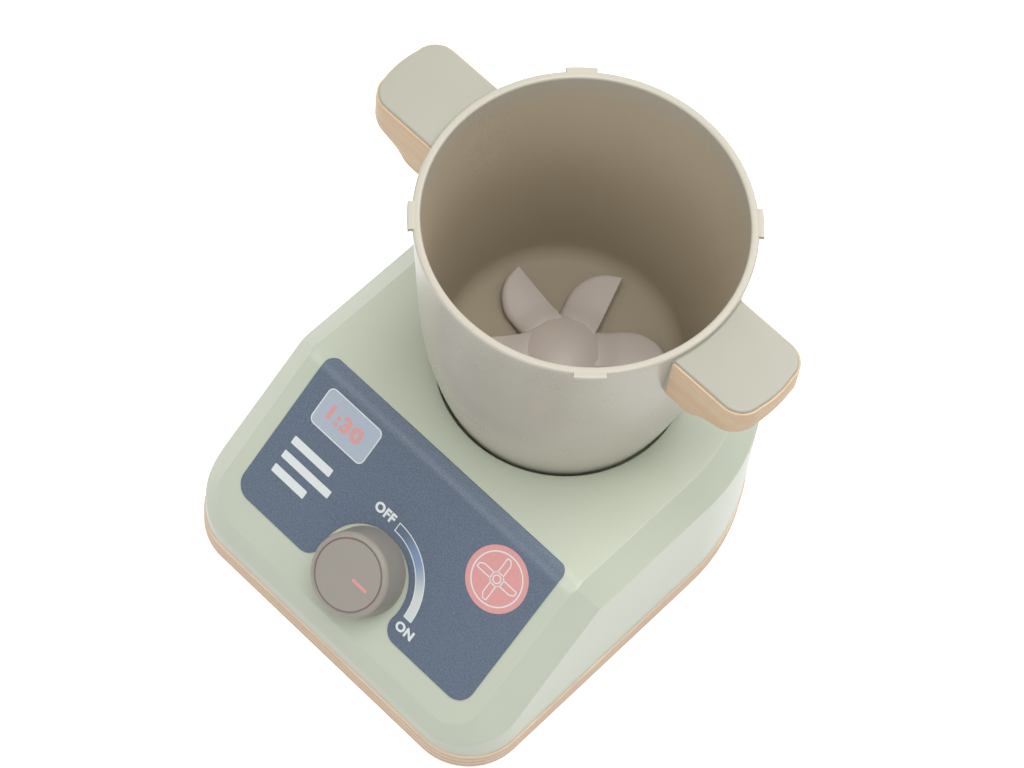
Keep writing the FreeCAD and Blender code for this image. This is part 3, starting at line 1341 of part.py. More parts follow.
def make_grips():
    """Wooden blocks under the tongues, coped to the pot and rebated for the tongue."""
    low = f"({RIM_Z} - tongue_drop - grip_depth)"
    for side, label in ((-1, "handle_wood_left"), (1, "handle_wood_right")):
        mark = f"{side + 1}"
        plan = handle_prism("grip_plan_" + mark, low, "grip_depth - grip_lip_drop", side, "grip_lip")
        slab = new_body("grip_side_" + mark, y=f"{POT_Y} + {side} * 2 * tongue_half_width", z=low)
        extrude(slab, f"grip_side_pad_{mark}",
                grip_side_profile(new_sketch(slab, "grip_profile_" + mark, "XZ_Plane")),
                "4 * tongue_half_width")
        if side < 0:
            turn_about_z(slab, "180")
        form = boolean("Common", "grip_form_" + mark, [plan, slab])
        cuts = [cylinder("grip_cope_" + mark, BOSS_RADIUS, "2 * grip_depth", y=POT_Y, z=low)]
        cuts.append(handle_prism("grip_rebate_" + mark, TONGUE_Z, "grip_depth", side))
        for index, (x, y) in enumerate(grip_screw_spots(side)):
            cuts.append(cylinder(f"grip_bore_{mark}_{index}", "screw_radius", "grip_depth", x=x, y=y,
                                 z=GRIP_SEAT_Z))
            cuts.append(cylinder(f"grip_post_room_{mark}_{index}", "tongue_post_radius + grip_post_gap",
                                 "grip_depth", x=x, y=y,
                                 z=f"{TONGUE_Z} - tongue_post_length - grip_post_gap"))
            cuts.append(cylinder(f"grip_head_room_{mark}_{index}", "screw_head_radius",
                                 "grip_depth", x=x, y=y, z=f"{GRIP_SEAT_Z} - grip_depth"))
        cuts += countersinks("grip_sink_" + mark, grip_screw_spots(side), GRIP_SEAT_Z)
        wood = boolean("Cut", "grip_solid_" + mark, [form, boolean("MultiFuse", "grip_cuts_" + mark, cuts)])
        publish(wood, label)
    screws = [
        screw(f"grip_screw_{side + 1}_{index}", "grip_screw_length", x, y, GRIP_SEAT_Z)
        for side in (-1, 1)
        for index, (x, y) in enumerate(grip_screw_spots(side))
    ]
    return group("handle_screws", screws)


# ---------------------------------------------------------------- rotor

def make_rotor():
    """Six low, cambered wings round a domed hub, hollow beneath and bored for the spindle."""
    body = new_body("rotor_body", y=POT_Y, z=ROTOR_Z)
    turn_about_z(body, "wing_turn - 90")
    dome = "((rotor_hub_radius^2 + (rotor_hub_height - rotor_hub_side)^2)" \
           " / (2 * (rotor_hub_height - rotor_hub_side)))"
    hub = draw_loop(new_sketch(body, "hub_profile", "XZ_Plane"), [
        ("0", "0"), ("rotor_hub_radius", "0"), ("rotor_hub_radius", "rotor_hub_side", dome),
        ("0", "rotor_hub_height")])
    revolve(body, "hub", hub)
    wing_sketch = new_sketch(body, "wing_section", "XZ_Plane")
    wing_sketch.AttachmentOffset = Placement(Vector(0, 0, -size(WING_TIP)), Rotation())
    wing_sketch.setExpression("AttachmentOffset.Base.z", formula(f"-{WING_TIP}"))
    high = "(wing_low + wing_rise)"
    draw_loop(wing_sketch, [
        ("-wing_round_side", "wing_low", "-wing_camber_radius"),
        ("wing_straight_side", high),
        ("wing_straight_side", f"{high} + wing_thickness", "wing_camber_radius + wing_thickness"),
        ("-wing_round_side", "wing_low + wing_thickness"),
    ])
    wing = extrude(body, "wing", wing_sketch, f"{WING_TIP} - wing_root_reach")
    tip = new_sketch(body, "tip_outline")
    draw_loop(tip, [
        ("-wing_round_side", f"{WING_TIP} - wing_shoulder_drop", "-wing_tip_radius"),
        ("wing_straight_side", WING_TIP),
        ("wing_straight_side", f"{WING_TIP} + 1"),
        ("-wing_round_side - 1", f"{WING_TIP} + 1"),
        ("-wing_round_side - 1", f"{WING_TIP} - wing_shoulder_drop"),
    ])
    trim = cut_pocket(body, "wing_tip", tip)
    pattern = body.newObject("PartDesign::PolarPattern", "wings")
    pattern.Originals = [wing, trim]
    pattern.Axis = (origin_plane(body, "Z_Axis"), [""])
    pattern.Angle = 360
    bind(pattern, Occurrences="wing_count")
    body.Tip = pattern
    hollow = new_sketch(body, "hub_hollow_outline")
    draw_circle(hollow, "0", "0", "rotor_hub_radius - rotor_hub_wall")
    cut_pocket(body, "hub_hollow", hollow, "rotor_hub_side - rotor_hub_wall / 3")
    bore = new_sketch(body, "spindle_bore_outline")
    draw_circle(bore, "0", "0", "spindle_radius")
    body.Tip = cut_pocket(body, "spindle_bore", bore, f"{POT_PLATE_Z} + spindle_length - {ROTOR_Z}")
    publish(body, "blade_rotor")

    publish(cylinder("spindle", "spindle_radius", "spindle_length", y=POT_Y, z=POT_PLATE_Z), "rotor_spindle")
    upper = coupling("pot_coupling_body", "spindle_radius", POT_PLATE_Z,
                     f"{POT_PLATE_Z} - dog_height", "180 / dog_count", y=POT_Y)
    publish(upper, "pot_coupling")
    inner = "(spindle_radius + running_gap)"
    outer = "(spindle_radius + bush_wall)"
    low = f"({POT_FLOOR_Z} - bush_stand)"
    seat = f"({POT_FLOOR_Z} + pot_floor + spindle_boss_height)"
    bush = turned_part("spindle_bush_body", [
        (inner, low), (outer, low), (outer, seat), (f"{outer} + bush_wall", seat),
        (f"{outer} + bush_wall", f"{seat} + bush_flange_height"), (inner, f"{seat} + bush_flange_height")],
        y=POT_Y)
    publish(bush, "spindle_bush")


# ---------------------------------------------------------------- wires

def wire(label, points):
    """Make one insulated lead: straight runs joined by arcs that touch both."""
    places = [Vector(size(x), size(y), size(z)) for x, y, z in points]
    edges = []
    start = places[0]
    for index in range(1, len(places) - 1):
        before, corner, after = places[index - 1:index + 2]
        to_before = (before - corner).normalize()
        to_after = (after - corner).normalize()
        half_turn = (math.pi - to_before.getAngle(to_after)) / 2
        setback = size("wire_bend") * min((before - corner).Length, (after - corner).Length)
        bend = setback / math.tan(half_turn)
        inward = (to_before + to_after).normalize()
        middle = corner + inward * (bend / math.cos(half_turn) - bend)
        edges.append(Part.makeLine(start, corner + to_before * setback))
        edges.append(Part.Arc(corner + to_before * setback, middle, corner + to_after * setback).toShape())
        start = corner + to_after * setback
    edges.append(Part.makeLine(start, places[-1]))
    route = Part.Wire(edges)
    ring = Part.makeCircle(size("wire_radius"), places[0], places[1] - places[0])
    lead = DOC.addObject("Part::Feature", label + "_solid")
    lead.Shape = route.makePipeShell([Part.Wire([ring])], True, True)
    return publish(lead, label)


def make_wires():
    """Three leads: cells to switch, switch to motor, motor back to cells."""
    beside = "(wire_radius + contact_thickness / 2)"
    tab_x = f"({CHAMBER_HALF_X} + wire_radius)"
    tab_front = f"({BOX_Y} - {CELL_PITCH} / 2)"
    tab_rear = f"({BOX_Y} + {CELL_PITCH} / 2)"
    tab_z = f"({BOX_TOP} + wire_radius)"
    switch_x = f"(switch_tab_offset + {beside})"
    deep = "(housing_wall + switch_depth)"
    far = f"({deep} + 3 * switch_tab_length)"
    near_y = f"{KNOB_Y} + {deep} * sin(slope_angle)"
    near_z = f"{KNOB_Z} - {deep} * cos(slope_angle)"
    far_y = f"{KNOB_Y} + {far} * sin(slope_angle)"
    far_z = f"{KNOB_Z} - {far} * cos(slope_angle)"
    motor_z = f"({CASE_LOW} - {MOTOR_LENGTH} - motor_tab_length / 2)"
    motor_gap = f"(motor_tab_offset + {beside})"
    floor_z = f"({PLATE_TOP} + 4 * wire_radius)"
    wire("lead_battery_switch", [
        (tab_x, tab_front, tab_z),
        (tab_x, tab_front, f"{tab_z} + box_screw_room"),
        (f"{tab_x} / 2", f"{far_y}", f"{tab_z} + box_screw_room / 2"),
        (switch_x, far_y, far_z),
        (switch_x, near_y, near_z),
    ])
    wire("lead_switch_motor", [
        (f"-{switch_x}", near_y, near_z),
        (f"-{switch_x}", far_y, far_z),
        (f"-({BOX_HALF_X} + 2 * box_flange)", f"{tab_front} - box_flange", floor_z),
        (f"-({BOX_HALF_X} + 2 * box_flange)", "0", floor_z),
        (f"{MESH_MOTOR} - 3 * {motor_gap}", COMPOUND_Y, motor_z),
        (f"{MESH_MOTOR} - {motor_gap}", COMPOUND_Y, motor_z),
    ])
    wire("lead_motor_battery", [
        (f"{MESH_MOTOR} + {motor_gap}", COMPOUND_Y, motor_z),
        (f"{MESH_MOTOR} + 2 * {motor_gap}", COMPOUND_Y, motor_z),
        (f"{MESH_MOTOR} + 2 * {motor_gap}", "0", f"{tab_z} - wire_radius"),
        (tab_x, tab_rear, f"{tab_z} + box_screw_room"),
        (tab_x, tab_rear, tab_z),
    ])


def check_everything():
    """Stop with a message if any object has failed or is empty."""
    for thing in DOC.Objects:
        if "Invalid" in thing.State or "Error" in thing.State:
            raise RuntimeError(f"{thing.Name}: {thing.State}")
    for part in PARTS:
        if part.Shape.isNull() or not part.Shape.isValid() or not part.Shape.Solids:
            raise RuntimeError(f"{part.Label}: no valid solid")


if __name__ == "__main__":
    make_base_plate()
    make_feet()
    make_housing_screws()
    make_housing()
    make_control_overlay()
    make_knob()
    make_switch()
    make_battery_box()
    make_cells()
    make_contacts()
    make_battery_door()
    make_flange_screws()
    make_gear_case()
    make_motor()
    make_gears()
    make_drive()
    make_pot()
    make_grips()
    make_rotor()
    make_wires()
    DOC.recompute()
    check_everything()
    os.makedirs("parts", exist_ok=True)
    for part in PARTS:
        print(f"{part.Label}: {len(part.Shape.Solids)} solids, {part.Shape.Volume:.0f} mm3")
        part.Shape.exportStep(os.path.join("parts", part.Label + ".step"))
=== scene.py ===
"""Toy food processor: finished meshes, materials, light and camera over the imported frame.

Lengths in the classes are millimetres in the frame's axes (X right, Y back, Z up). They
become metres when a Draft or a Drawing is turned into a mesh.
"""
import json
import logging
import math
from dataclasses import dataclass, field
from enum import Enum
from typing import Callable, Sequence

import bmesh
import bpy
import numpy as np
from mathutils import Matrix, Vector
from mathutils.geometry import delaunay_2d_cdt


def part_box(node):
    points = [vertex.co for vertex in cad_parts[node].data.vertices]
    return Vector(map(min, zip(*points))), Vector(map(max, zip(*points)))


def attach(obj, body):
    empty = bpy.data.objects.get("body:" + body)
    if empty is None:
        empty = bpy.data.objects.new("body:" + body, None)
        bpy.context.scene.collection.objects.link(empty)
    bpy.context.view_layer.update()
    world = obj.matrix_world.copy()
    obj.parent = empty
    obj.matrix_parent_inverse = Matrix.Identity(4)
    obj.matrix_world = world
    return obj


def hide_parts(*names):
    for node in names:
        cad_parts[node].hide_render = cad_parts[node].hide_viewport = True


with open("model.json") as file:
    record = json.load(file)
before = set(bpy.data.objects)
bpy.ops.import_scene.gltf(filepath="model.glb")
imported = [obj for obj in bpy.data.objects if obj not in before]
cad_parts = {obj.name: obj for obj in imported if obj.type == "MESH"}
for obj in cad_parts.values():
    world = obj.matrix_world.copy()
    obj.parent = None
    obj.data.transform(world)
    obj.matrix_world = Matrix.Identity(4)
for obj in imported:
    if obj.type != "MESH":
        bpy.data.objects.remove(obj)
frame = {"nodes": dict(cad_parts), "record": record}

MM = 0.001
LOG = logging.getLogger("toy_food_processor")
Array = np.ndarray
Corner = tuple[float, float, float]
# Noise values that most tones are eased between.
MIDDLE = (0.3, 0.7)
WHITE = (1, 1, 1, 1)
BLACK = (0, 0, 0, 1)


# ---------------------------------------------------------------- plane curves

def arc_between(start: Sequence[float], end: Sequence[float], radius: float, count: int) -> Array:
    """Sample the shorter arc between two points of a plane.

    Args:
        start: first point.
        end: last point.
        radius: arc radius, positive where the path turns left and negative to the right.
        count: number of points, both ends among them.

    Returns:
        Array of points, one row each.
    """
    first, last = np.asarray(start, float), np.asarray(end, float)
    chord = last - first
    length = np.hypot(*chord)
    rise = math.sqrt(max(radius * radius - length * length / 4, 0.0)) * math.copysign(1, radius)
    centre = (first + last) / 2 + np.array([-chord[1], chord[0]]) / length * rise
    start_angle = math.atan2(*(first - centre)[::-1])
    turn = 2 * math.asin(min(length / (2 * abs(radius)), 1.0)) * math.copysign(1, radius)
    angles = start_angle + np.linspace(0, turn, count)
    return centre + abs(radius) * np.column_stack([np.cos(angles), np.sin(angles)])


def rounded_path(corners: Sequence[Corner], closed: bool = True, step: float = 8.0) -> Array:
    """Turn corners with radii into a fine path with an arc at each round corner.

    Args:
        corners: (x, y, radius) of each corner, with radius 0 where it stays sharp.
        closed: whether the last corner joins the first.
        step: largest turn in degrees between two points of an arc.

    Returns:
        Array of points, one row each.
    """
    spots = np.array([corner[:2] for corner in corners], float)
    path = []
    for index, (x, y, radius) in enumerate(corners):
        at_end = not closed and index in (0, len(corners) - 1)
        if radius == 0 or at_end:
            path.append([x, y])
            continue
        before = spots[index - 1] - spots[index]
        after = spots[(index + 1) % len(corners)] - spots[index]
        before, after = before / np.hypot(*before), after / np.hypot(*after)
        turn = math.pi - math.acos(np.clip(before @ after, -1, 1))
        setback = radius * math.tan(turn / 2)
        left = before[1] * after[0] - before[0] * after[1] > 0
        count = max(3, math.ceil(math.degrees(turn) / step) + 1)
        path.extend(arc_between(
            spots[index] + before * setback, spots[index] + after * setback,
            radius if left else -radius, count))
    return np.array(path)


def rounded_box(box: tuple[float, float, float, float], radius: float,
                step: float = 9.0) -> Array:
    """Outline a rectangle with round corners.

    Args:
        box: left, low, right and high side.
        radius: radius of each corner.
        step: largest turn in degrees between two points of an arc.

    Returns:
        Array of points, one row each.
    """
    left, low, right, high = box
    return rounded_path([(x, y, radius) for x, y in
                         ((left, low), (right, low), (right, high), (left, high))], step=step)


def refined(path: Array, step: float, closed: bool = True) -> Array:
    """Add points to a path's long runs.

    Args:
        path: points of the path.
        step: longest run that stays undivided.
        closed: whether the last point joins the first.

    Returns:
        Path with every old point and the new ones.
    """
    following = np.roll(path, -1, axis=0) if closed else path[1:]
    finer = []
    for here, there in zip(path, following):
        parts = max(1, math.ceil(np.hypot(*(there - here)) / step))
        finer.extend(here + (there - here) * part / parts for part in range(parts))
    if not closed:
        finer.append(path[-1])
    return np.array(finer)


def outward(path: Array) -> Array:
    """Give the outward unit normal at each point of a closed counter-clockwise path.

    Args:
        path: points of the path.

    Returns:
        A vector for each point, longer where the path turns.
    """
    ahead = np.roll(path, -1, axis=0) - path
    behind = path - np.roll(path, 1, axis=0)
    ahead /= np.linalg.norm(ahead, axis=1)[:, None]
    behind /= np.linalg.norm(behind, axis=1)[:, None]
    normals = np.column_stack([(ahead + behind)[:, 1], -(ahead + behind)[:, 0]])
    lengths = np.linalg.norm(normals, axis=1)[:, None]
    return normals / lengths * np.minimum(2 / lengths, 1.5)


def quarter_round(radius: float, count: int = 5) -> list[tuple[float, float]]:
    """Divide a rounded edge from the flat above it to the side wall.

    Args:
        radius: radius of the edge.
        count: number of points.

    Returns:
        (inset, drop) of each point.
    """
    return [
        (radius * (1 - math.sin(angle)), radius * (1 - math.cos(angle)))
        for angle in np.linspace(0, math.pi / 2, count)
    ]


def lifted(spots: Array, heights: Array | float) -> Array:
    """Give (x, y) points of a plane their heights, or one height for all."""
    return np.column_stack([spots, np.broadcast_to(heights, len(spots))])


def moved(points: Array, matrix: Matrix) -> Array:
    """Move points by a matrix."""
    rows = np.array(matrix)
    return points @ rows[:3, :3].T + rows[:3, 3]


# ---------------------------------------------------------------- meshes

class Draft:
    """Vertices and faces of one piece while it is being made, in millimetres."""

    def __init__(self) -> None:
        """Start with no vertices and no faces."""
        self.points: list[Array] = []
        self.faces: list[tuple[int, ...]] = []
        self.total = 0

    def add_points(self, points: Array) -> int:
        """Add vertices.

        Args:
            points: (x, y, z) rows in any grid.

        Returns:
            Number of the first one.
        """
        first = self.total
        self.points.append(np.asarray(points, float).reshape(-1, 3))
        self.total += len(self.points[-1])
        return first

    def add_grid(self, grid: Array, wrap_rows: bool = False, wrap_columns: bool = True) -> None:
        """Skin a grid of points with quads.

        Args:
            grid: points in rows and columns.
            wrap_rows: whether the last row joins the first.
            wrap_columns: whether the last column joins the first.
        """
        rows, columns = grid.shape[:2]
        first = self.add_points(grid)
        for row in range(rows if wrap_rows else rows - 1):
            here, there = first + row * columns, first + (row + 1) % rows * columns
            for column in range(columns if wrap_columns else columns - 1):
                beside = (column + 1) % columns
                self.faces.append((here + column, here + beside, there + beside, there + column))

    def add_face(self, loop: Array) -> None:
        """Add one flat face with its own vertices."""
        first = self.add_points(loop)
        self.faces.append(tuple(range(first, first + len(loop))))

    def add_sheet(self, outline: Array, within: Array,
                  height: Callable[[Array], Array]) -> None:
        """Fill an outline with triangles that follow a curved height.

        Args:
            outline: closed loop of (x, y) points.
            within: further (x, y) points inside the outline.
            height: gives the heights of (x, y) points.
        """
        count = len(outline)
        edges = [(number, (number + 1) % count) for number in range(count)]
        spots, _, faces = delaunay_2d_cdt(
            [Vector(spot) for spot in np.vstack([outline, within])], edges, [], 1, 1e-5)[:3]
        flat = np.array([tuple(spot) for spot in spots])
        first = self.add_points(lifted(flat, height(flat)))
        self.faces += [tuple(first + corner for corner in face) for face in faces]

    def placed(self, matrix: Matrix) -> "Draft":
        """Return a copy moved by a matrix.

        Args:
            matrix: the move.

        Returns:
            The copy.
        """
        copy = Draft()
        copy.points = [moved(points, matrix) for points in self.points]
        copy.faces, copy.total = list(self.faces), self.total
        return copy

    def to_mesh(self, name: str, sharp: float) -> bpy.types.Mesh:
        """Make a clean mesh in metres with its faces pointing outwards.

        Args:
            name: name of the mesh.
            sharp: angle in degrees from which an edge is drawn sharp.

        Returns:
            The mesh.
        """
        mesh = bpy.data.meshes.new(name)
        mesh.from_pydata((np.concatenate(self.points) * MM).tolist(), [], self.faces)
        work = bmesh.new()
        work.from_mesh(mesh)
        bmesh.ops.remove_doubles(work, verts=work.verts, dist=2e-6)
        bmesh.ops.dissolve_degenerate(work, edges=work.edges, dist=1e-7)
        bmesh.ops.recalc_face_normals(work, faces=work.faces)
        work.to_mesh(mesh)
        work.free()
        mesh.shade_smooth()
        mesh.set_sharp_from_angle(angle=math.radians(sharp))
        return mesh


def turned(profile: Array, segments: int, sweep: tuple[float, float] | None = None) -> Array:
    """Turn a profile about the Z axis.

    Args:
        profile: (radius, height) points.
        segments: number of columns.
        sweep: first and last angle in degrees, or None for a full turn.

    Returns:
        Grid of points, a row for each profile point.
    """
    if sweep is None:
        angles = np.linspace(0, 2 * math.pi, segments, endpoint=False)
    else:
        angles = np.radians(np.linspace(*sweep, segments))
    radii, heights = profile[:, :1], profile[:, 1:]
    return np.dstack([radii * np.cos(angles), radii * np.sin(angles),
                      np.repeat(heights, segments, axis=1)])


def sector(draft: Draft, profile: Array, sweep: tuple[float, float], segments: int) -> None:
    """Add a closed profile swept through part of a turn, with both ends filled.

    Args:
        draft: piece that takes the faces.
        profile: closed loop of (radius, height) points.
        sweep: first and last angle in degrees.
        segments: number of columns.
    """
    grid = turned(profile, segments, sweep)
    draft.add_grid(grid, wrap_rows=True, wrap_columns=False)
    draft.add_face(grid[:, 0])
    draft.add_face(grid[::-1, -1])


@dataclass(frozen=True)
class Slope:
    """Frame on the control slope: u to the right, v up the slope, w out of it."""

    ridge_y: float
    ridge_z: float
    angle: float
    ridge_radius: float

    @property
    def matrix(self) -> Matrix:
        """Matrix from the slope's frame to the object's."""
        ridge = Matrix.Translation((0, self.ridge_y, self.ridge_z))
        return ridge @ Matrix.Rotation(self.angle, 4, "X")

    def skin_height(self, along: Array, lift: Array) -> Array:
        """Height above the slope's plane of the housing's skin, raised by a lift.

        Args:
            along: distances v up the slope from the ridge line.
            lift: distances above the skin.

        Returns:
            Heights w above the slope's plane.
        """
        start = -self.ridge_radius * math.tan(self.angle / 2)
        bend = self.ridge_radius + lift
        over = np.clip(along - start, 0, bend * math.sin(self.angle))
        arc = np.sqrt(bend * bend - over * over) - self.ridge_radius
        past = np.clip(along - start - bend * math.sin(self.angle), 0, None)
        return arc - past * math.tan(self.angle)

    def to_world(self, sheet: Array) -> Array:
        """Lay points (u, v, lift) of a flat drawing on the housing's skin."""
        heights = self.skin_height(sheet[:, 1], sheet[:, 2])
        return moved(lifted(sheet[:, :2], heights), self.matrix)


# ---------------------------------------------------------------- places read from the frame

def node_box(name: str) -> tuple[Array, Array]:
    """Give a node's lowest and highest corner in millimetres."""
    low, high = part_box(name)
    return np.array(low) / MM, np.array(high) / MM


def joint_place(name: str) -> Array:
    """Give the point on a joint's axis in millimetres.

    Args:
        name: joint name in the record.

    Returns:
        The point.
    """
    for joint in frame["record"]["behaviour"]["joints"]:
        if joint["name"] == name:
            return np.array(joint["pos_m"]) / MM
    raise KeyError(name)


@dataclass(frozen=True)
class Layout:
    """Main places and driving lengths, worked out from the frame once."""

    half_width: float
    front: float
    skirt: float
    deck: float
    pot_axis: Array
    pot_low: float
    rim: float
    tongue_tip: float
    slope: Slope
    knob_along: float

    @classmethod
    def read(cls, slope_angle: float = 41.5, ridge_setback: float = 60.0,
             ridge_radius: float = 12.0) -> "Layout":
        """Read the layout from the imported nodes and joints.

        Args:
            slope_angle: tilt of the control slope in degrees.
            ridge_setback: distance of the ridge behind the plate's front edge.
            ridge_radius: radius of the bend along the ridge.

        Returns:
            The layout.
        """
        plate_low, _ = node_box("base_plate")
        housing_low, housing_high = node_box("base_housing")
        pot_low, pot_high = node_box("pot_shell")
        axis = joint_place("rotor_spin")
        knob = joint_place("knob_turn")
        angle = math.radians(slope_angle)
        slope = Slope(plate_low[1] + ridge_setback, housing_high[2], angle, ridge_radius)
        along = ((knob[1] - slope.ridge_y) * math.cos(angle)
                 + (knob[2] - slope.ridge_z) * math.sin(angle))
        return cls(housing_high[0], housing_low[1], housing_low[2], housing_high[2],
                   np.array([axis[0], axis[1], 0.0]), pot_low[2], pot_high[2], pot_high[0],
                   slope, along)

    def on_pot_axis(self, side: int = 1) -> Matrix:
        """Matrix that puts a piece made round Z on the pot's axis, half turned for side -1."""
        turn = Matrix.Rotation(0.0 if side > 0 else math.pi, 4, "Z")
        return Matrix.Translation(self.pot_axis) @ turn


# ---------------------------------------------------------------- shader maths

class Field:
    """A shader socket that takes part in Python arithmetic."""

    def __init__(self, graph: "Graph", socket: bpy.types.NodeSocket) -> None:
        """Wrap an output socket of a graph."""
        self.graph = graph
        self.socket = socket

    def _math(self, operation: str, first: "Value", second: "Value") -> "Field":
        """Add a Math node on two values."""
        return self.graph.field("ShaderNodeMath", 0, {"operation": operation},
                                {0: first, 1: second})

    def __add__(self, other: "Value") -> "Field":
        """Sum of two fields."""
        return self._math("ADD", self, other)

    __radd__ = __add__

    def __sub__(self, other: "Value") -> "Field":
        """Difference of two fields."""
        return self._math("SUBTRACT", self, other)

    def __rsub__(self, other: "Value") -> "Field":
        """Difference from a number."""
        return self._math("SUBTRACT", other, self)

    def __mul__(self, other: "Value") -> "Field":
        """Product of two fields."""
        return self._math("MULTIPLY", self, other)

    __rmul__ = __mul__

    def __truediv__(self, other: "Value") -> "Field":
        """Quotient of two fields."""
        return self._math("DIVIDE", self, other)

    def fraction(self) -> "Field":
        """Part after the decimal point."""
        return self._math("FRACT", self, 0.0)

    def above(self, limit: float) -> "Field":
        """One where the field is above a limit, else zero."""
        return self._math("GREATER_THAN", self, limit)

    def at_most(self, other: "Value") -> "Field":
        """Smaller of two fields."""
        return self._math("MINIMUM", self, other)

    def eased(self, low: float, high: float) -> "Field":
        """Rise smoothly from 0 at low to 1 at high.

        Args:
            low: value below which the result is 0.
            high: value above which the result is 1.

        Returns:
            The eased field.
        """
        return self.graph.field(
            "ShaderNodeMapRange", "Result", {"interpolation_type": "SMOOTHSTEP"},
            {"Value": self, "From Min": low, "From Max": high, "To Min": 0.0, "To Max": 1.0})


Value = Field | float | int | tuple


def add_node(tree: bpy.types.NodeTree, kind: str, settings: dict[str, object] | None = None,
             inputs: dict[str | int, object] | None = None) -> bpy.types.Node:
    """Add a node to a tree.

    Args:
        tree: material, world or geometry tree.
        kind: node type.
        settings: attributes to set first.
        inputs: value or linked socket for each named or numbered input.

    Returns:
        The node.
    """
    node = tree.nodes.new(kind)
    for key, value in (settings or {}).items():
        setattr(node, key, value)
    for key, value in (inputs or {}).items():
        if isinstance(value, bpy.types.NodeSocket):
            tree.links.new(value, node.inputs[key])
        else:
            node.inputs[key].default_value = value
    return node


class Graph:
    """A material's node tree with one method for any node."""

    def __init__(self, name: str) -> None:
        """Create a material with an empty node tree.

        Args:
            name: name of the material.
        """
        self.material = bpy.data.materials.new(name)
        self.material.use_nodes = True
        self.tree = self.material.node_tree
        self.tree.nodes.clear()

    def node(self, kind: str, settings: dict[str, object] | None = None,
             inputs: dict[str | int, Value] | None = None) -> bpy.types.Node:
        """Add a node.

        Args:
            kind: node type.
            settings: attributes to set first.
            inputs: value or linked field for each named or numbered input.

        Returns:
            The node.
        """
        plain = {key: value.socket if isinstance(value, Field) else value
                 for key, value in (inputs or {}).items()}
        return add_node(self.tree, kind, settings, plain)

    def field(self, kind: str, output: str | int, settings: dict[str, object] | None = None,
              inputs: dict[str | int, Value] | None = None) -> Field:
        """Add a node and wrap one of its outputs."""
        return Field(self, self.node(kind, settings, inputs).outputs[output])

    def place(self, stretch: tuple[float, float, float] = (1, 1, 1)) -> Field:
        """Object coordinates, stretched along the axes."""
        spot = self.field("ShaderNodeTexCoord", "Object")
        return self.field("ShaderNodeMapping", "Vector", None, {"Vector": spot, "Scale": stretch})

    def noise(self, scale: float, detail: float = 2.0,
              stretch: tuple[float, float, float] = (1, 1, 1), roughness: float = 0.5) -> Field:
        """Noise from 0 to 1.

        Args:
            scale: number of features in a metre.
            detail: number of finer layers.
            stretch: factor on each coordinate.
            roughness: weight of the finer layers.

        Returns:
            The noise.
        """
        return self.field("ShaderNodeTexNoise", 0, None, {
            "Vector": self.place(stretch), "Scale": scale, "Detail": detail,
            "Roughness": roughness})

    def axis(self, name: str, space: str = "Object") -> Field:
        """One coordinate of the surface point, or of its normal.

        Args:
            name: "X", "Y" or "Z".
            space: "Object" for the point, "Normal" for the normal.

        Returns:
            The coordinate.
        """
        kind, output = ("ShaderNodeTexCoord", "Object") if space == "Object" else (
            "ShaderNodeNewGeometry", "Normal")
        spot = self.field(kind, output)
        return self.field("ShaderNodeSeparateXYZ", name, None, {"Vector": spot})

    def mix(self, share: Value, first: Value, second: Value) -> Field:
        """Mix two colours."""
        return self.field("ShaderNodeMix", 2, {"data_type": "RGBA"},
                          {0: share, 6: first, 7: second})

    def tones(self, share: Value, colour: tuple, low: float, high: float) -> Field:
        """Mix a darker and a lighter tone of a colour."""
        return self.mix(share, toned(colour, low), toned(colour, high))

    def bump(self, height: Field, strength: float, distance: float) -> Field:
        """Turn a height field into a normal."""
        return self.field("ShaderNodeBump", "Normal", None, {
            "Height": height, "Strength": strength, "Distance": distance})

    def finish(self, **sockets: Value) -> bpy.types.Material:
        """Close the tree with a Principled shader.

        Args:
            **sockets: value of each shader input, named in lower case.

        Returns:
            The material.
        """
        named = {key.replace("_", " ").title().replace("Ior", "IOR"): value
                 for key, value in sockets.items()}
        shader = self.field("ShaderNodeBsdfPrincipled", "BSDF", None, named)
        self.node("ShaderNodeOutputMaterial", None, {"Surface": shader})
        return self.material


def srgb(red: int, green: int, blue: int) -> tuple[float, float, float, float]:
    """Turn 8-bit sRGB numbers into a linear colour.

    Args:
        red: red from 0 to 255.
        green: green from 0 to 255.
        blue: blue from 0 to 255.

    Returns:
        Linear red, green and blue, and alpha 1.
    """
    linear = [
        channel / 12.92 if channel <= 0.04045 else ((channel + 0.055) / 1.055) ** 2.4
        for channel in (red / 255, green / 255, blue / 255)
    ]
    return (*linear, 1.0)


def toned(colour: tuple, factor: float) -> tuple[float, float, float, float]:
    """Darken or lighten a linear colour."""
    return (*(min(channel * factor, 1.0) for channel in colour[:3]), 1.0)


# ---------------------------------------------------------------- finishes

@dataclass(frozen=True)
class Finish:
    """Base of every finish: a name, the record's slot and a material builder."""

    name: str
    slot: str

    def material(self) -> bpy.types.Material:
        """Return the finish's material, made on first use."""
        found = bpy.data.materials.get(self.name)
        return found or self.build(Graph(self.name))

    def build(self, graph: Graph) -> bpy.types.Material:
        """Make the material's nodes in an empty tree."""
        raise NotImplementedError


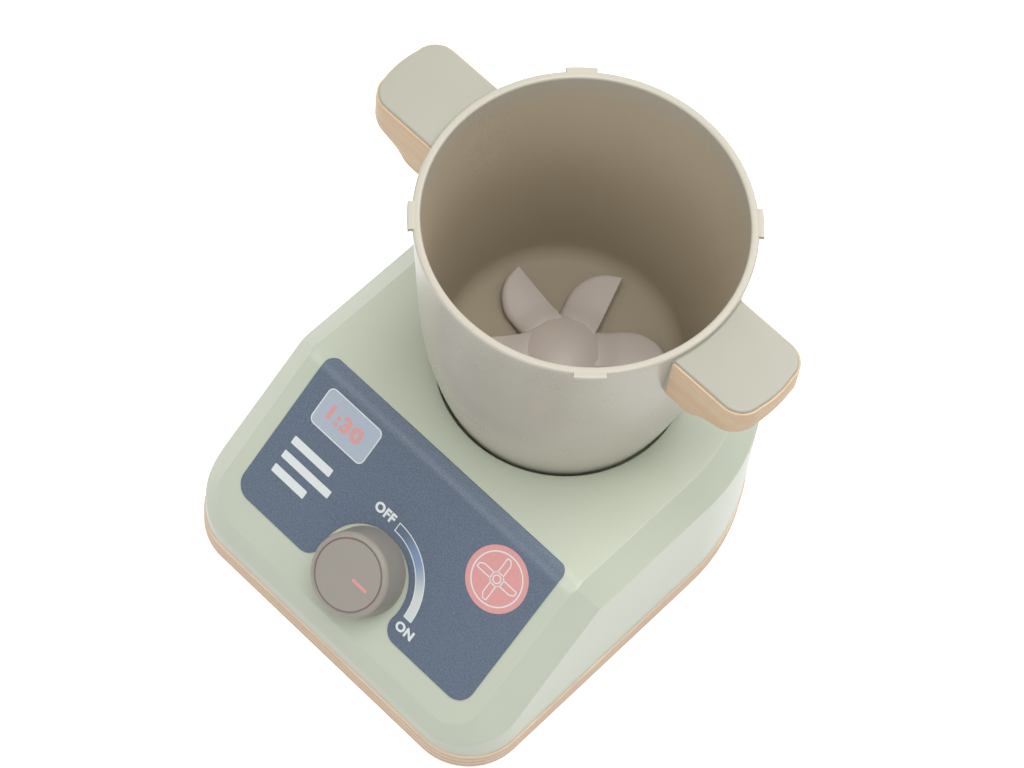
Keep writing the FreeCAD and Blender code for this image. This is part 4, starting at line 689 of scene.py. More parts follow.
@dataclass(frozen=True)
class MouldedPlastic(Finish):
    """Satin moulded plastic with a fine spark-eroded texture, faint flow mottling, and optional
    painted bounce light and painted shade inside a hollow.
    """

    colour: tuple = (0.5, 0.5, 0.5, 1.0)
    roughness: float = 0.42
    mottling: float = 0.035
    texture: float = 0.10
    grain_scale: float = 2600.0
    # Painted bounce light: a warmer tone inside the hollow, in place of light reflected off the
    # parts within it.
    inner_bounce_colour: tuple | None = None
    # Painted shade: darker towards the hollow's floor, where less light reaches.
    deep_shade_colour: tuple | None = None
    flow_scale: float = 26.0
    relief: float = 0.00004
    rim_band: float = 0.15
    dull_from: float = 0.45
    dull_to: float = 0.95
    dulling: float = 0.40

    def build(self, graph: Graph) -> bpy.types.Material:
        """Make the material's nodes.

        Args:
            graph: the material's empty tree.

        Returns:
            The material.
        """
        flow = graph.noise(self.flow_scale, 3.0)
        grain = graph.noise(self.grain_scale, 2.0)
        colour = graph.tones(flow, self.colour, 1 - self.mottling, 1 + self.mottling)
        roughness = self.roughness + (flow - 0.5) * 0.08 + (grain - 0.5) * 0.10
        # Inside the pot: painted warm bounce light below the rim, then painted shade deepening to
        # the floor; the inside is also made duller.
        if self.inner_bounce_colour is not None:
            inside = graph.field("ShaderNodeAttribute", "Fac", {"attribute_name": "inside"})
            colour = graph.mix(inside.eased(0.0, self.rim_band), colour, self.inner_bounce_colour)
            colour = graph.mix(inside.eased(self.rim_band, 1.0), colour, self.deep_shade_colour)
            dulled = inside.eased(self.dull_from, self.dull_to) * self.dulling
            roughness = roughness + dulled
        normal = graph.bump(grain, self.texture, self.relief)
        return graph.finish(base_color=colour, roughness=roughness, normal=normal)


@dataclass(frozen=True)
class PrintedSheet(Finish):
    """Printed polycarbonate sheet or ink: even colour with a fine speckle."""

    colour: tuple = (0.5, 0.5, 0.5, 1.0)
    roughness: float = 0.40
    speckle: float = 0.10
    fine_scale: float = 2300.0
    cloud_scale: float = 40.0
    relief: float = 0.00003

    def build(self, graph: Graph) -> bpy.types.Material:
        """Make the material's nodes.

        Args:
            graph: the material's empty tree.

        Returns:
            The material.
        """
        fine = graph.noise(self.fine_scale, 3.0, roughness=0.7)
        cloud = graph.noise(self.cloud_scale, 2.0)
        colour = graph.tones(fine.eased(*MIDDLE), self.colour,
                             1 - self.speckle, 1 + self.speckle)
        roughness = self.roughness + (cloud - 0.5) * 0.06 + (fine - 0.5) * 0.08
        return graph.finish(base_color=colour, roughness=roughness,
                            normal=graph.bump(fine, 0.12, self.relief))


@dataclass(frozen=True)
class FadingInk(Finish):
    """Ink that fades from one colour to another round a point, as on the dial's arc."""

    start_colour: tuple = (0.5, 0.5, 0.5, 1.0)
    middle_colour: tuple = (0.5, 0.5, 0.5, 1.0)
    end_colour: tuple = (0.5, 0.5, 0.5, 1.0)
    low: float = 0.0
    middle: float = 0.5
    high: float = 1.0
    roughness: float = 0.42
    fine_scale: float = 3200.0
    fleck: float = 0.06

    def build(self, graph: Graph) -> bpy.types.Material:
        """Make the material's nodes.

        Args:
            graph: the material's empty tree.

        Returns:
            The material.
        """
        along = graph.field("ShaderNodeAttribute", "Fac", {"attribute_name": "along"})
        fine = graph.noise(self.fine_scale, 2.0)
        colour = graph.mix(along.eased(self.low, self.middle), self.start_colour,
                           self.middle_colour)
        colour = graph.mix(along.eased(self.middle, self.high), colour, self.end_colour)
        share, flecked = fine.eased(*MIDDLE), graph.mix(self.fleck, colour, BLACK)
        colour = graph.mix(share, colour, flecked)
        return graph.finish(base_color=colour, roughness=self.roughness + (fine - 0.5) * 0.08)


@dataclass(frozen=True)
class SolidWood(Finish):
    """Planed hardwood with grain along X, fine pores and a matt seal."""

    colour: tuple = (0.5, 0.4, 0.3, 1.0)
    dark: tuple = (0.4, 0.3, 0.2, 1.0)
    roughness: float = 0.55
    warp_scale: float = 14.0
    band_scale: float = 120.0
    streak_scale: float = 900.0
    pore_scale: float = 2600.0
    tint: float = 0.35
    relief: float = 0.00008

    def build(self, graph: Graph) -> bpy.types.Material:
        """Make the material's nodes.

        Args:
            graph: the material's empty tree.

        Returns:
            The material.
        """
        warp = graph.noise(self.warp_scale, 2.0, (0.25, 1, 1))
        bands = graph.noise(self.band_scale, 4.0, (0.05, 1.0, 1.6), 0.6)
        streaks = graph.noise(self.streak_scale, 3.0, (0.04, 1, 1), 0.6)
        pores = graph.noise(self.pore_scale, 2.0, (0.10, 1, 1), 0.6)
        share = (bands * 0.6 + streaks * 0.4).eased(0.38, 0.66)
        colour = graph.mix(share, self.dark, self.colour)
        lighter = warp.eased(0.35, 0.75) * self.tint
        colour = graph.mix(lighter, colour, toned(self.colour, 1.08))
        pitted = pores.eased(0.62, 0.74) * self.tint
        colour = graph.mix(pitted, colour, toned(self.dark, 0.72))
        roughness = self.roughness + (streaks - 0.5) * 0.15
        return graph.finish(base_color=colour, roughness=roughness,
                            normal=graph.bump(streaks * 0.6 + pores * 0.4, 0.18, self.relief))


@dataclass(frozen=True)
class Plywood(Finish):
    """Birch plywood: veneers stacked along Z, face grain along X."""

    face: tuple = (0.6, 0.5, 0.35, 1.0)
    light: tuple = (0.6, 0.45, 0.3, 1.0)
    dark: tuple = (0.35, 0.22, 0.13, 1.0)
    bottom: float = 1.5
    thickness: float = 10.0
    veneers: int = 7
    roughness: float = 0.58
    wander_scale: float = 60.0
    wander: float = 0.16
    fibre_scale: float = 700.0
    end_scale: float = 1500.0
    streak_scale: float = 420.0
    glue_width: float = 0.30
    glue_share: float = 0.55
    relief: float = 0.00008

    def build(self, graph: Graph) -> bpy.types.Material:
        """Make the material's nodes.

        Args:
            graph: the material's empty tree.

        Returns:
            The material.
        """
        height = (graph.axis("Z") - self.bottom * MM) / (self.thickness * MM / self.veneers)
        wander = (graph.noise(self.wander_scale, 2.0, (1, 1, 0.2)) - 0.5) * self.wander
        place = height + wander
        veneer = place.fraction()
        crossed = (place * 0.5).fraction().above(0.5)
        fibres = graph.noise(self.fibre_scale, 3.0, (0.06, 0.06, 1.0), 0.6)
        ends = graph.noise(self.end_scale, 3.0, (0.7, 0.7, 0.4), 0.7)
        long_grain = graph.tones(fibres.eased(*MIDDLE), self.light, 0.86, 1.0)
        end_grain = graph.mix(ends.eased(0.35, 0.65), self.dark, toned(self.light, 0.80))
        edge = graph.mix(crossed, long_grain, end_grain)
        glue = 1 - (veneer * (1 - veneer) * 4).eased(0.0, self.glue_width)
        edge = graph.mix(glue * self.glue_share, edge, self.dark)
        streaks = graph.noise(self.streak_scale, 4.0, (0.05, 1, 1), 0.6)
        faces = graph.tones(streaks.eased(*MIDDLE), self.face, 0.9, 1.0)
        upright = graph.axis("Z", "Normal")
        flat = (upright * upright).eased(0.55, 0.85)
        colour = graph.mix(flat, edge, faces)
        roughness = self.roughness + (ends - 0.5) * 0.2
        return graph.finish(base_color=colour, roughness=roughness,
                            normal=graph.bump(fibres * 0.5 + ends * 0.5, 0.22, self.relief))


@dataclass(frozen=True)
class Metal(Finish):
    """Plated or turned metal with fine tooling marks."""

    colour: tuple = (0.6, 0.6, 0.6, 1.0)
    roughness: float = 0.28
    marks: tuple = (1.0, 1.0, 0.1)
    mark_scale: float = 1800.0
    cloud_scale: float = 150.0
    relief: float = 0.00003

    def build(self, graph: Graph) -> bpy.types.Material:
        """Make the material's nodes.

        Args:
            graph: the material's empty tree.

        Returns:
            The material.
        """
        marks = graph.noise(self.mark_scale, 2.0, self.marks)
        cloud = graph.noise(self.cloud_scale, 2.0)
        colour = graph.tones(cloud, self.colour, 0.92, 1.06)
        roughness = self.roughness + (marks - 0.5) * 0.16
        return graph.finish(base_color=colour, metallic=1.0, roughness=roughness,
                            normal=graph.bump(marks, 0.08, self.relief))


@dataclass(frozen=True)
class SoftRubber(Finish):
    """Matt rubber with a dusty bloom."""

    colour: tuple = (0.2, 0.2, 0.2, 1.0)
    roughness: float = 0.8
    bloom_scale: float = 220.0
    relief: float = 0.0001

    def build(self, graph: Graph) -> bpy.types.Material:
        """Make the material's nodes.

        Args:
            graph: the material's empty tree.

        Returns:
            The material.
        """
        bloom = graph.noise(self.bloom_scale, 4.0, roughness=0.6)
        colour = graph.tones(bloom.eased(0.35, 0.75), self.colour, 1.0, 1.25)
        return graph.finish(base_color=colour, roughness=self.roughness + (bloom - 0.5) * 0.12,
                            normal=graph.bump(bloom, 0.2, self.relief))


@dataclass(frozen=True)
class CellWrap(Finish):
    """Shrink wrap of a battery cell: a coloured band at one end of a dark sleeve."""

    body: tuple = (0.05, 0.05, 0.06, 1.0)
    band: tuple = (0.6, 0.3, 0.15, 1.0)
    band_from: float = 8.0
    band_blur: float = 0.2
    film_scale: float = 300.0
    roughness: float = 0.24

    def build(self, graph: Graph) -> bpy.types.Material:
        """Make the material's nodes.

        Args:
            graph: the material's empty tree.

        Returns:
            The material.
        """
        low, high = self.band_from - self.band_blur, self.band_from + self.band_blur
        share = graph.axis("X").eased(low * MM, high * MM)
        film = graph.noise(self.film_scale, 2.0)
        colour = graph.mix(share, self.body, self.band)
        return graph.finish(base_color=colour, roughness=self.roughness + (film - 0.5) * 0.1)


class Finishes(Enum):
    """Every finish of the object."""

    SHELL = MouldedPlastic("shell_green_plastic", "shell_green", srgb(197, 204, 186), 0.31)
    PANEL = PrintedSheet("panel_slate_print", "panel_print", srgb(97, 111, 129), 0.34, 0.26)
    PALE_INK = PrintedSheet("panel_pale_ink", "panel_print", srgb(224, 230, 229), 0.36, 0.03)
    WINDOW_INK = PrintedSheet("panel_window_ink", "panel_print", srgb(175, 186, 200), 0.34, 0.05)
    PINK_INK = PrintedSheet("panel_pink_ink", "panel_print", srgb(221, 158, 156), 0.34, 0.05)
    ARC_INK = FadingInk("panel_arc_ink", "panel_print", srgb(96, 112, 131), srgb(128, 150, 184),
                        srgb(214, 220, 218), 0.05, 0.38, 0.80)
    KNOB = MouldedPlastic("knob_taupe_plastic", "knob_grey", srgb(158, 152, 144), 0.45)
    GROOVE_INK = PrintedSheet("knob_groove_ink", "knob_grey", srgb(150, 124, 124), 0.5, 0.04)
    # The pot's inside takes painted warm bounce light below the rim and painted shade towards its
    # floor.
    POT = MouldedPlastic("pot_beige_plastic", "pot_beige", srgb(195, 190, 175), 0.29,
                         inner_bounce_colour=srgb(202, 190, 168), deep_shade_colour=srgb(151, 140, 119))
    # Painted shade: the pot's own plastic, darkened on the handle tops where the lamps light them
    # more than the rest.
    SHADED_HANDLE_TOP = MouldedPlastic("handle_top_shaded_plastic", "pot_beige", srgb(174, 172, 158), 0.36)
    ROTOR = MouldedPlastic("rotor_taupe_plastic", "rotor_taupe", srgb(184, 174, 166), 0.42)
    GRIP = SolidWood("handle_beech_wood", "handle_beech", srgb(228, 202, 169),
                     srgb(216, 186, 151), 0.55)
    PLYWOOD = Plywood("birch_plywood_board", "birch_plywood", srgb(224, 196, 166),
                      srgb(241, 215, 187), srgb(211, 178, 148))
    FOOT = SoftRubber("foot_grey_rubber", "foot_rubber", srgb(96, 96, 94))
    SCREW = Metal("screw_zinc_steel", "screw_steel", srgb(168, 168, 172), 0.32)
    SWITCH = MouldedPlastic("switch_black_plastic", "switch_black", srgb(40, 40, 42), 0.5)
    BRIGHT = Metal("bright_spring_steel", "bright_steel", srgb(190, 190, 192), 0.22)
    INNER = MouldedPlastic("inner_white_plastic", "inner_white", srgb(226, 224, 216), 0.48)
    CELL = CellWrap("cell_wrap", "cell_skin", srgb(52, 54, 60), srgb(198, 142, 92))
    MOTOR = Metal("motor_can_steel", "motor_steel", srgb(176, 178, 182), 0.26, (1, 1, 0.05))
    BRASS = Metal("turned_brass", "brass", srgb(196, 164, 98), 0.26)
    GEAR = MouldedPlastic("gear_white_nylon", "gear_white", srgb(234, 232, 222), 0.42)
    LEAD_RED = MouldedPlastic("lead_red_pvc", "lead_red", srgb(176, 44, 40), 0.42)
    LEAD_BLACK = MouldedPlastic("lead_black_pvc", "lead_black", srgb(38, 38, 40), 0.42)
    LEAD_WHITE = MouldedPlastic("lead_white_pvc", "lead_white", srgb(226, 226, 224), 0.42)

    @property
    def material(self) -> bpy.types.Material:
        """The finish's material."""
        return self.value.material()


def publish(draft: Draft, name: str, finish: Finishes, body: str,
            stands_for: Sequence[str] = (), sharp: float = 40.0) -> bpy.types.Object:
    """Make a piece of faces, with edges drawn sharp from an angle in degrees, and dress it."""
    return dress(bpy.data.objects.new(name, draft.to_mesh(name, sharp)), finish, body, stands_for)


def dress(piece: bpy.types.Object, finish: Finishes, body: str,
          stands_for: Sequence[str] = ()) -> bpy.types.Object:
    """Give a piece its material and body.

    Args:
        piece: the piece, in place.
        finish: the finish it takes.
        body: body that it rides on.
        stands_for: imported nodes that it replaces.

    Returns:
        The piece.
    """
    if piece.name not in bpy.context.scene.collection.objects:
        bpy.context.scene.collection.objects.link(piece)
    piece.data.materials.clear()
    piece.data.materials.append(finish.material)
    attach(piece, body)
    if stands_for:
        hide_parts(*stands_for)
    LOG.info("%s: %d faces, rides on %s", piece.name, len(piece.data.polygons), body)
    return piece


# ---------------------------------------------------------------- housing

def rounded_max(first: Array, second: Array, reach: float) -> Array:
    """Larger of two distances, with the corner between them rounded."""
    near = np.clip(reach - np.abs(first - second), 0, None)
    return np.maximum(first, second) + near * near / (4 * reach)


def corner_distance(across: Array, ahead: Array, radius: float | Array) -> Array:
    """Distance from a corner of two straight sides joined by an arc, negative inside."""
    outside = np.hypot(np.clip(across, 0, None), np.clip(ahead, 0, None))
    return outside + np.minimum(np.maximum(across, ahead), 0) - radius


@dataclass
class Housing:
    """Moulded housing: deck, bent control slope, facets all round and drafted walls."""

    layout: Layout
    wall: float = 2.4
    draft_angle: float = 1.0
    corner_radius: float = 23.4
    band: float = 10.4
    slope_corner: float = 13.6
    nose_inset: float = 4.6
    nose_turn: float = 28.0
    recess_radius: float = 46.69
    recess_depth: float = 8.0
    lip_round: float = 0.9
    bush_hole: float = 5.0
    crease_reach: float = 0.32
    columns: int = 420
    rows: int = 92
    inner_rows: int = 26
    eye_radius: float = 20.0
    eye_height: float = 30.0
    farthest: float = 220.0
    halvings: int = 24
    lowest_tilt: float = -24.0
    first_rays: int = 520
    heading_bends: float = 0.35
    row_bends: float = 0.9

    def form(self, points: Array) -> Array:
        """Distance of points from the housing's outer form, negative inside.

        Args:
            points: array whose last axis is X, Y, Z.

        Returns:
            Array of distances.
        """
        layout, slope = self.layout, self.layout.slope
        x, y, z = np.abs(points[..., 0]), points[..., 1], points[..., 2]
        behind = y - layout.pot_axis[1]
        crease = layout.half_width - self.band
        top = self._top(y - slope.ridge_y, z - slope.ridge_z)
        plan = np.where(behind > 0, np.hypot(x, behind), x)
        crown = (plan - crease - (layout.deck - z)) * math.sqrt(0.5)
        side = self._slope_sides(x, y - slope.ridge_y, z - slope.ridge_z, crease)
        flat = layout.half_width - self.corner_radius
        nose = -layout.front - self.corner_radius
        wall = np.where(behind > 0, plan - layout.half_width,
                        corner_distance(x - flat, -y - nose, self.corner_radius))
        wall = wall + (z - layout.skirt) * math.tan(math.radians(self.draft_angle))
        solid = rounded_max(top, crown, self.crease_reach)
        solid = rounded_max(solid, side, self.crease_reach)
        return rounded_max(solid, wall, self.crease_reach)

    def _top(self, y: Array, z: Array) -> Array:
        """Distance from the deck, the rounded ridge and the slope, in a side view.

        Args:
            y: distances behind the ridge line.
            z: distances above the ridge line.

        Returns:
            Distances, negative inside.
        """
        slope = self.layout.slope
        sine, cosine = math.sin(slope.angle), math.cos(slope.angle)
        centre_y = slope.ridge_radius * math.tan(slope.angle / 2)
        from_y, from_z = y - centre_y, z + slope.ridge_radius
        tilted = z * cosine - y * sine
        bent = (from_y < 0) & (from_y * cosine + from_z * sine > 0)
        rounded = np.hypot(from_y, from_z) - slope.ridge_radius
        return np.where(bent, rounded, np.maximum(z, tilted))

    def _slope_sides(self, x: Array, y: Array, z: Array, crease: float) -> Array:
        """Distance from the facets along both sides and the front of the slope.

        Args:
            x: distances to either side of the middle.
            y: distances behind the ridge line.
            z: distances above the ridge line.
            crease: x at which the facets meet the deck.

        Returns:
            Distances, negative inside.
        """
        slope = self.layout.slope
        sine, cosine = math.sin(slope.angle), math.cos(slope.angle)
        down = -(y * cosine + z * sine)
        depth = y * sine - z * cosine
        length = (slope.ridge_y - self.layout.front) / cosine
        spread = 1 / math.tan(math.radians(self.nose_turn)) - 1
        across = x - (crease - self.slope_corner)
        ahead = down - (length - self.nose_inset - self.slope_corner) - spread * depth
        outside = corner_distance(across, ahead, 0.0)
        reach = np.hypot(np.clip(across, 1e-9, None), np.clip(ahead, 1e-9, None))
        lean = 1 + spread * np.clip(ahead, 1e-9, None) / reach
        return (outside - self.slope_corner - depth) / np.sqrt(1 + lean * lean)

    def _headings(self) -> Array:
        """Angles of the columns round the pot's axis, even along the plan's outline.

        Returns:
            Angles in radians.
        """
        layout = self.layout
        half, radius = layout.half_width, self.corner_radius
        front = layout.front - layout.pot_axis[1]
        rear = [(half * math.cos(turn), half * math.sin(turn), 0.0)
                for turn in np.linspace(0.0, math.pi, 92)]
        plan = rounded_path([(half, front, radius), *rear, (-half, front, radius)], step=3.0)
        plan = np.vstack([plan, plan[:1]])
        runs = np.hypot(*np.diff(plan, axis=0).T)
        bends = np.unwrap(np.arctan2(*np.diff(plan, axis=0).T[::-1]))
        bends = np.abs(np.diff(np.concatenate([bends, bends[:1] + 2 * math.pi])))
        weight = runs / runs.sum() + self.heading_bends * bends / bends.sum()
        weight = np.concatenate([[0], np.cumsum(weight)])
        spots = np.linspace(0, weight[-1], self.columns, endpoint=False)
        along_x = np.interp(spots, weight, plan[:, 0])
        along_y = np.interp(spots, weight, plan[:, 1])
        return np.arctan2(along_y, along_x)

    def _ring(self, headings: Array, radius: float, height: float) -> Array:
        """Points of a level circle round the pot's axis, one for each heading."""
        circle_points = radius * np.column_stack([np.cos(headings), np.sin(headings)])
        return lifted(circle_points + self.layout.pot_axis[:2], height)

    def _cast(self, headings: Array, tilts: Array, level: float) -> Array:
        """Find where rays from near the pot's axis leave the form.

        Args:
            headings: angle of each column round the pot's axis.
            tilts: rise of each ray, a row for each column.
            level: distance from the outer form, negative inside.

        Returns:
            Grid of points, a row for each column.
        """
        turn = np.dstack([np.cos(headings)[:, None] * np.cos(tilts),
                          np.sin(headings)[:, None] * np.cos(tilts), np.sin(tilts)])
        start = self._ring(headings, self.eye_radius, self.eye_height)[:, None]
        near, far = np.zeros(tilts.shape), np.full(tilts.shape, self.farthest)
        for _ in range(self.halvings):
            middle = (near + far) / 2
            inside = self.form(start + turn * middle[..., None]) < level
            near, far = np.where(inside, middle, near), np.where(inside, far, middle)
        return start + turn * near[..., None]

    def _skin(self, headings: Array, rows: int, level: float, rim: float) -> Array:
        """Lay rows of points on the form, closer together where it bends.

        Args:
            headings: angle of each column round the pot's axis.
            rows: number of rows.
            level: distance from the outer form, negative inside.
            rim: radius of the first row, on the deck.

        Returns:
            Grid of points from the deck's hole down to the skirt, a row for each column.
        """
        skirt = self.layout.skirt
        top = math.atan2(self.layout.deck + level - self.eye_height, rim - self.eye_radius)
        even = np.linspace(top, math.radians(self.lowest_tilt), self.first_rays)
        path = self._cast(headings, np.tile(even, (len(headings), 1)), level)
        flat = np.dstack([np.hypot(path[..., 0], path[..., 1] - self.layout.pot_axis[1]),
                          path[..., 2]])
        tilts = []
        for line in flat:
            step = np.diff(line, axis=0)
            runs = np.hypot(*step.T)
            bends = np.abs(np.diff(np.unwrap(np.arctan2(step[:, 1], step[:, 0]))))
            bends = np.concatenate([bends[:1], bends])
            last = np.searchsorted(-line[:, 1], -skirt)
            share = (line[last - 1, 1] - skirt) / (line[last - 1, 1] - line[last, 1])
            weight = runs / runs[:last].sum() + self.row_bends * bends / bends[:last].sum()
            weight = np.concatenate([[0], np.cumsum(weight)])
            end = weight[last - 1] + share * (weight[last] - weight[last - 1])
            tilts.append(np.interp(np.linspace(0, end, rows), weight, even))
        grid = self._cast(headings, np.array(tilts), level)
        grid[:, -1, 2] = skirt
        return grid

    def build(self) -> None:
        """Make the housing as one closed skin: outside, pot recess and inside."""
        headings = self._headings()
        hole = self.recess_radius
        rim, back = hole + self.lip_round, hole + self.wall
        outside = self._skin(headings, self.rows, 0.0, rim)
        inside = self._skin(headings, self.inner_rows, -self.wall, back)
        deck = self.layout.deck
        floor = deck - self.recess_depth
        below = floor - self.wall
        well = [(rim - drop, deck - inset)
                for inset, drop in reversed(quarter_round(self.lip_round, 6))][1:]
        well += [(hole, floor + 0.8), (hole - 0.25, floor + 0.25), (hole - 0.8, floor),
                 (30.0, floor), (self.bush_hole, floor), (self.bush_hole, below),
                 (30.0, below), (back, below), (back, (floor + deck) / 2)]
        rings = [self._ring(headings, radius, height) for radius, height in well]
        grid = np.concatenate([
            outside.transpose(1, 0, 2)[::-1], np.array(rings), inside.transpose(1, 0, 2)])
        draft = Draft()
        draft.add_grid(grid, wrap_rows=True)
        publish(draft, "housing_shell", Finishes.SHELL, "base", ["base_housing"], sharp=60.0)


# ---------------------------------------------------------------- control panel

@dataclass
class Drawing:
    """Flat printed shapes on the slope, as polygons and strips in (u, v)."""

    slope: Slope
    low: float
    high: float
    work: bmesh.types.BMesh = field(default_factory=bmesh.new)

    def polygon(self, loop: Array) -> None:
        """Add a filled outline."""
        self.work.faces.new([self.work.verts.new((u, v, self.high)) for u, v in loop])

    def strip(self, first: Array, second: Array, closed: bool) -> None:
        """Fill the band between two paths of equal length.

        Args:
            first: one side of the band.
            second: the other side.
            closed: whether the last points join the first.
        """
        one = [self.work.verts.new((u, v, self.high)) for u, v in first]
        two = [self.work.verts.new((u, v, self.high)) for u, v in second]
        count = len(one)
        for index in range(count if closed else count - 1):
            beside = (index + 1) % count
            self.work.faces.new([one[index], one[beside], two[beside], two[index]])

    def outline(self, loop: Array, width: float) -> None:
        """Draw a closed line of a given width centred on a loop."""
        normals = outward(loop)
        self.strip(loop + normals * width / 2, loop - normals * width / 2, closed=True)

    def lettering(self, text: str, centre: tuple[float, float], height: float,
                  weight: float, spread: float = 1.0) -> None:
        """Set a word or number.

        Args:
            text: letters or digits.
            centre: middle of the word.
            height: height of a capital.
            weight: extra stroke width as a share of the height.
            spread: width of the letters against their usual width.
        """
        curve = bpy.data.curves.new("lettering", "FONT")
        curve.body, curve.size, curve.offset = text, 1.0, weight
        curve.space_character = 1.0 + 2.2 * weight
        curve.resolution_u = 6
        holder = bpy.data.objects.new("lettering", curve)
        mesh = bpy.data.meshes.new_from_object(holder)
        spots = np.array([vertex.co[:2] for vertex in mesh.vertices])
        low, high = spots.min(0), spots.max(0)
        scale = height / (high[1] - low[1])
        spots = (spots - (low + high) / 2) * scale * [spread, 1.0] + centre
        fresh = [self.work.verts.new((u, v, self.high)) for u, v in spots]
        for polygon in mesh.polygons:
            self.work.faces.new([fresh[index] for index in polygon.vertices])
        bpy.data.objects.remove(holder)
        bpy.data.curves.remove(curve)
        bpy.data.meshes.remove(mesh)

    def cross_cuts(self, places: Sequence[float]) -> None:
        """Divide the faces along lines across the slope, so that they can bend.

        Args:
            places: v of each line.
        """
        for v in places:
            geometry = self.work.verts[:] + self.work.edges[:] + self.work.faces[:]
            bmesh.ops.bisect_plane(self.work, geom=geometry, plane_co=(0, v, 0),
                                   plane_no=(0, 1, 0))

    def finish_piece(self, name: str, finish: Finishes, body: str = "base",
                     stands_for: Sequence[str] = (),
                     lay: Callable[[Array], Array] | None = None) -> bpy.types.Object:
        """Thicken the drawing, lay it on the skin and publish it.

        Args:
            name: object name.
            finish: the finish it takes.
            body: body that it rides on.
            stands_for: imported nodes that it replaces.
            lay: maps (u, v, lift) to the object's frame; the slope's skin if left out.

        Returns:
            The piece.
        """
        bmesh.ops.triangulate(self.work, faces=self.work.faces)
        bmesh.ops.remove_doubles(self.work, verts=self.work.verts, dist=1e-4)
        extruded = bmesh.ops.extrude_face_region(self.work, geom=self.work.faces[:])
        lowered = [item for item in extruded["geom"] if isinstance(item, bmesh.types.BMVert)]
        for vertex in lowered:
            vertex.co.z = self.low
        bmesh.ops.recalc_face_normals(self.work, faces=self.work.faces)
        flat = np.array([vertex.co for vertex in self.work.verts])
        placed = (lay or self.slope.to_world)(flat) * MM
        for vertex, spot in zip(self.work.verts, placed):
            vertex.co = spot
        bmesh.ops.recalc_face_normals(self.work, faces=self.work.faces)
        self.work.verts.index_update()
        faces = []
        for face in self.work.faces:
            loop = [vertex.index for vertex in face.verts]
            first = loop.index(min(loop))
            faces.append(loop[first:] + loop[:first])
        mesh = bpy.data.meshes.new(name)
        mesh.from_pydata([vertex.co[:] for vertex in self.work.verts], [], sorted(faces))
        self.work.free()
        mesh.shade_smooth()
        mesh.set_sharp_from_angle(angle=math.radians(35))
        return dress(bpy.data.objects.new(name, mesh), finish, body, stands_for)


def circle(centre: tuple[float, float], radius: float, count: int = 72,
           sweep: tuple[float, float] = (0.0, 360.0)) -> Array:
    """Points of a circle or an arc.

    Args:
        centre: its centre.
        radius: its radius.
        count: number of points.
        sweep: first and last angle in degrees.

    Returns:
        Array of points, one row each.
    """
    full = sweep[1] - sweep[0] >= 360
    angles = np.radians(np.linspace(*sweep, count, endpoint=not full))
    return np.asarray(centre) + radius * np.column_stack([np.cos(angles), np.sin(angles)])


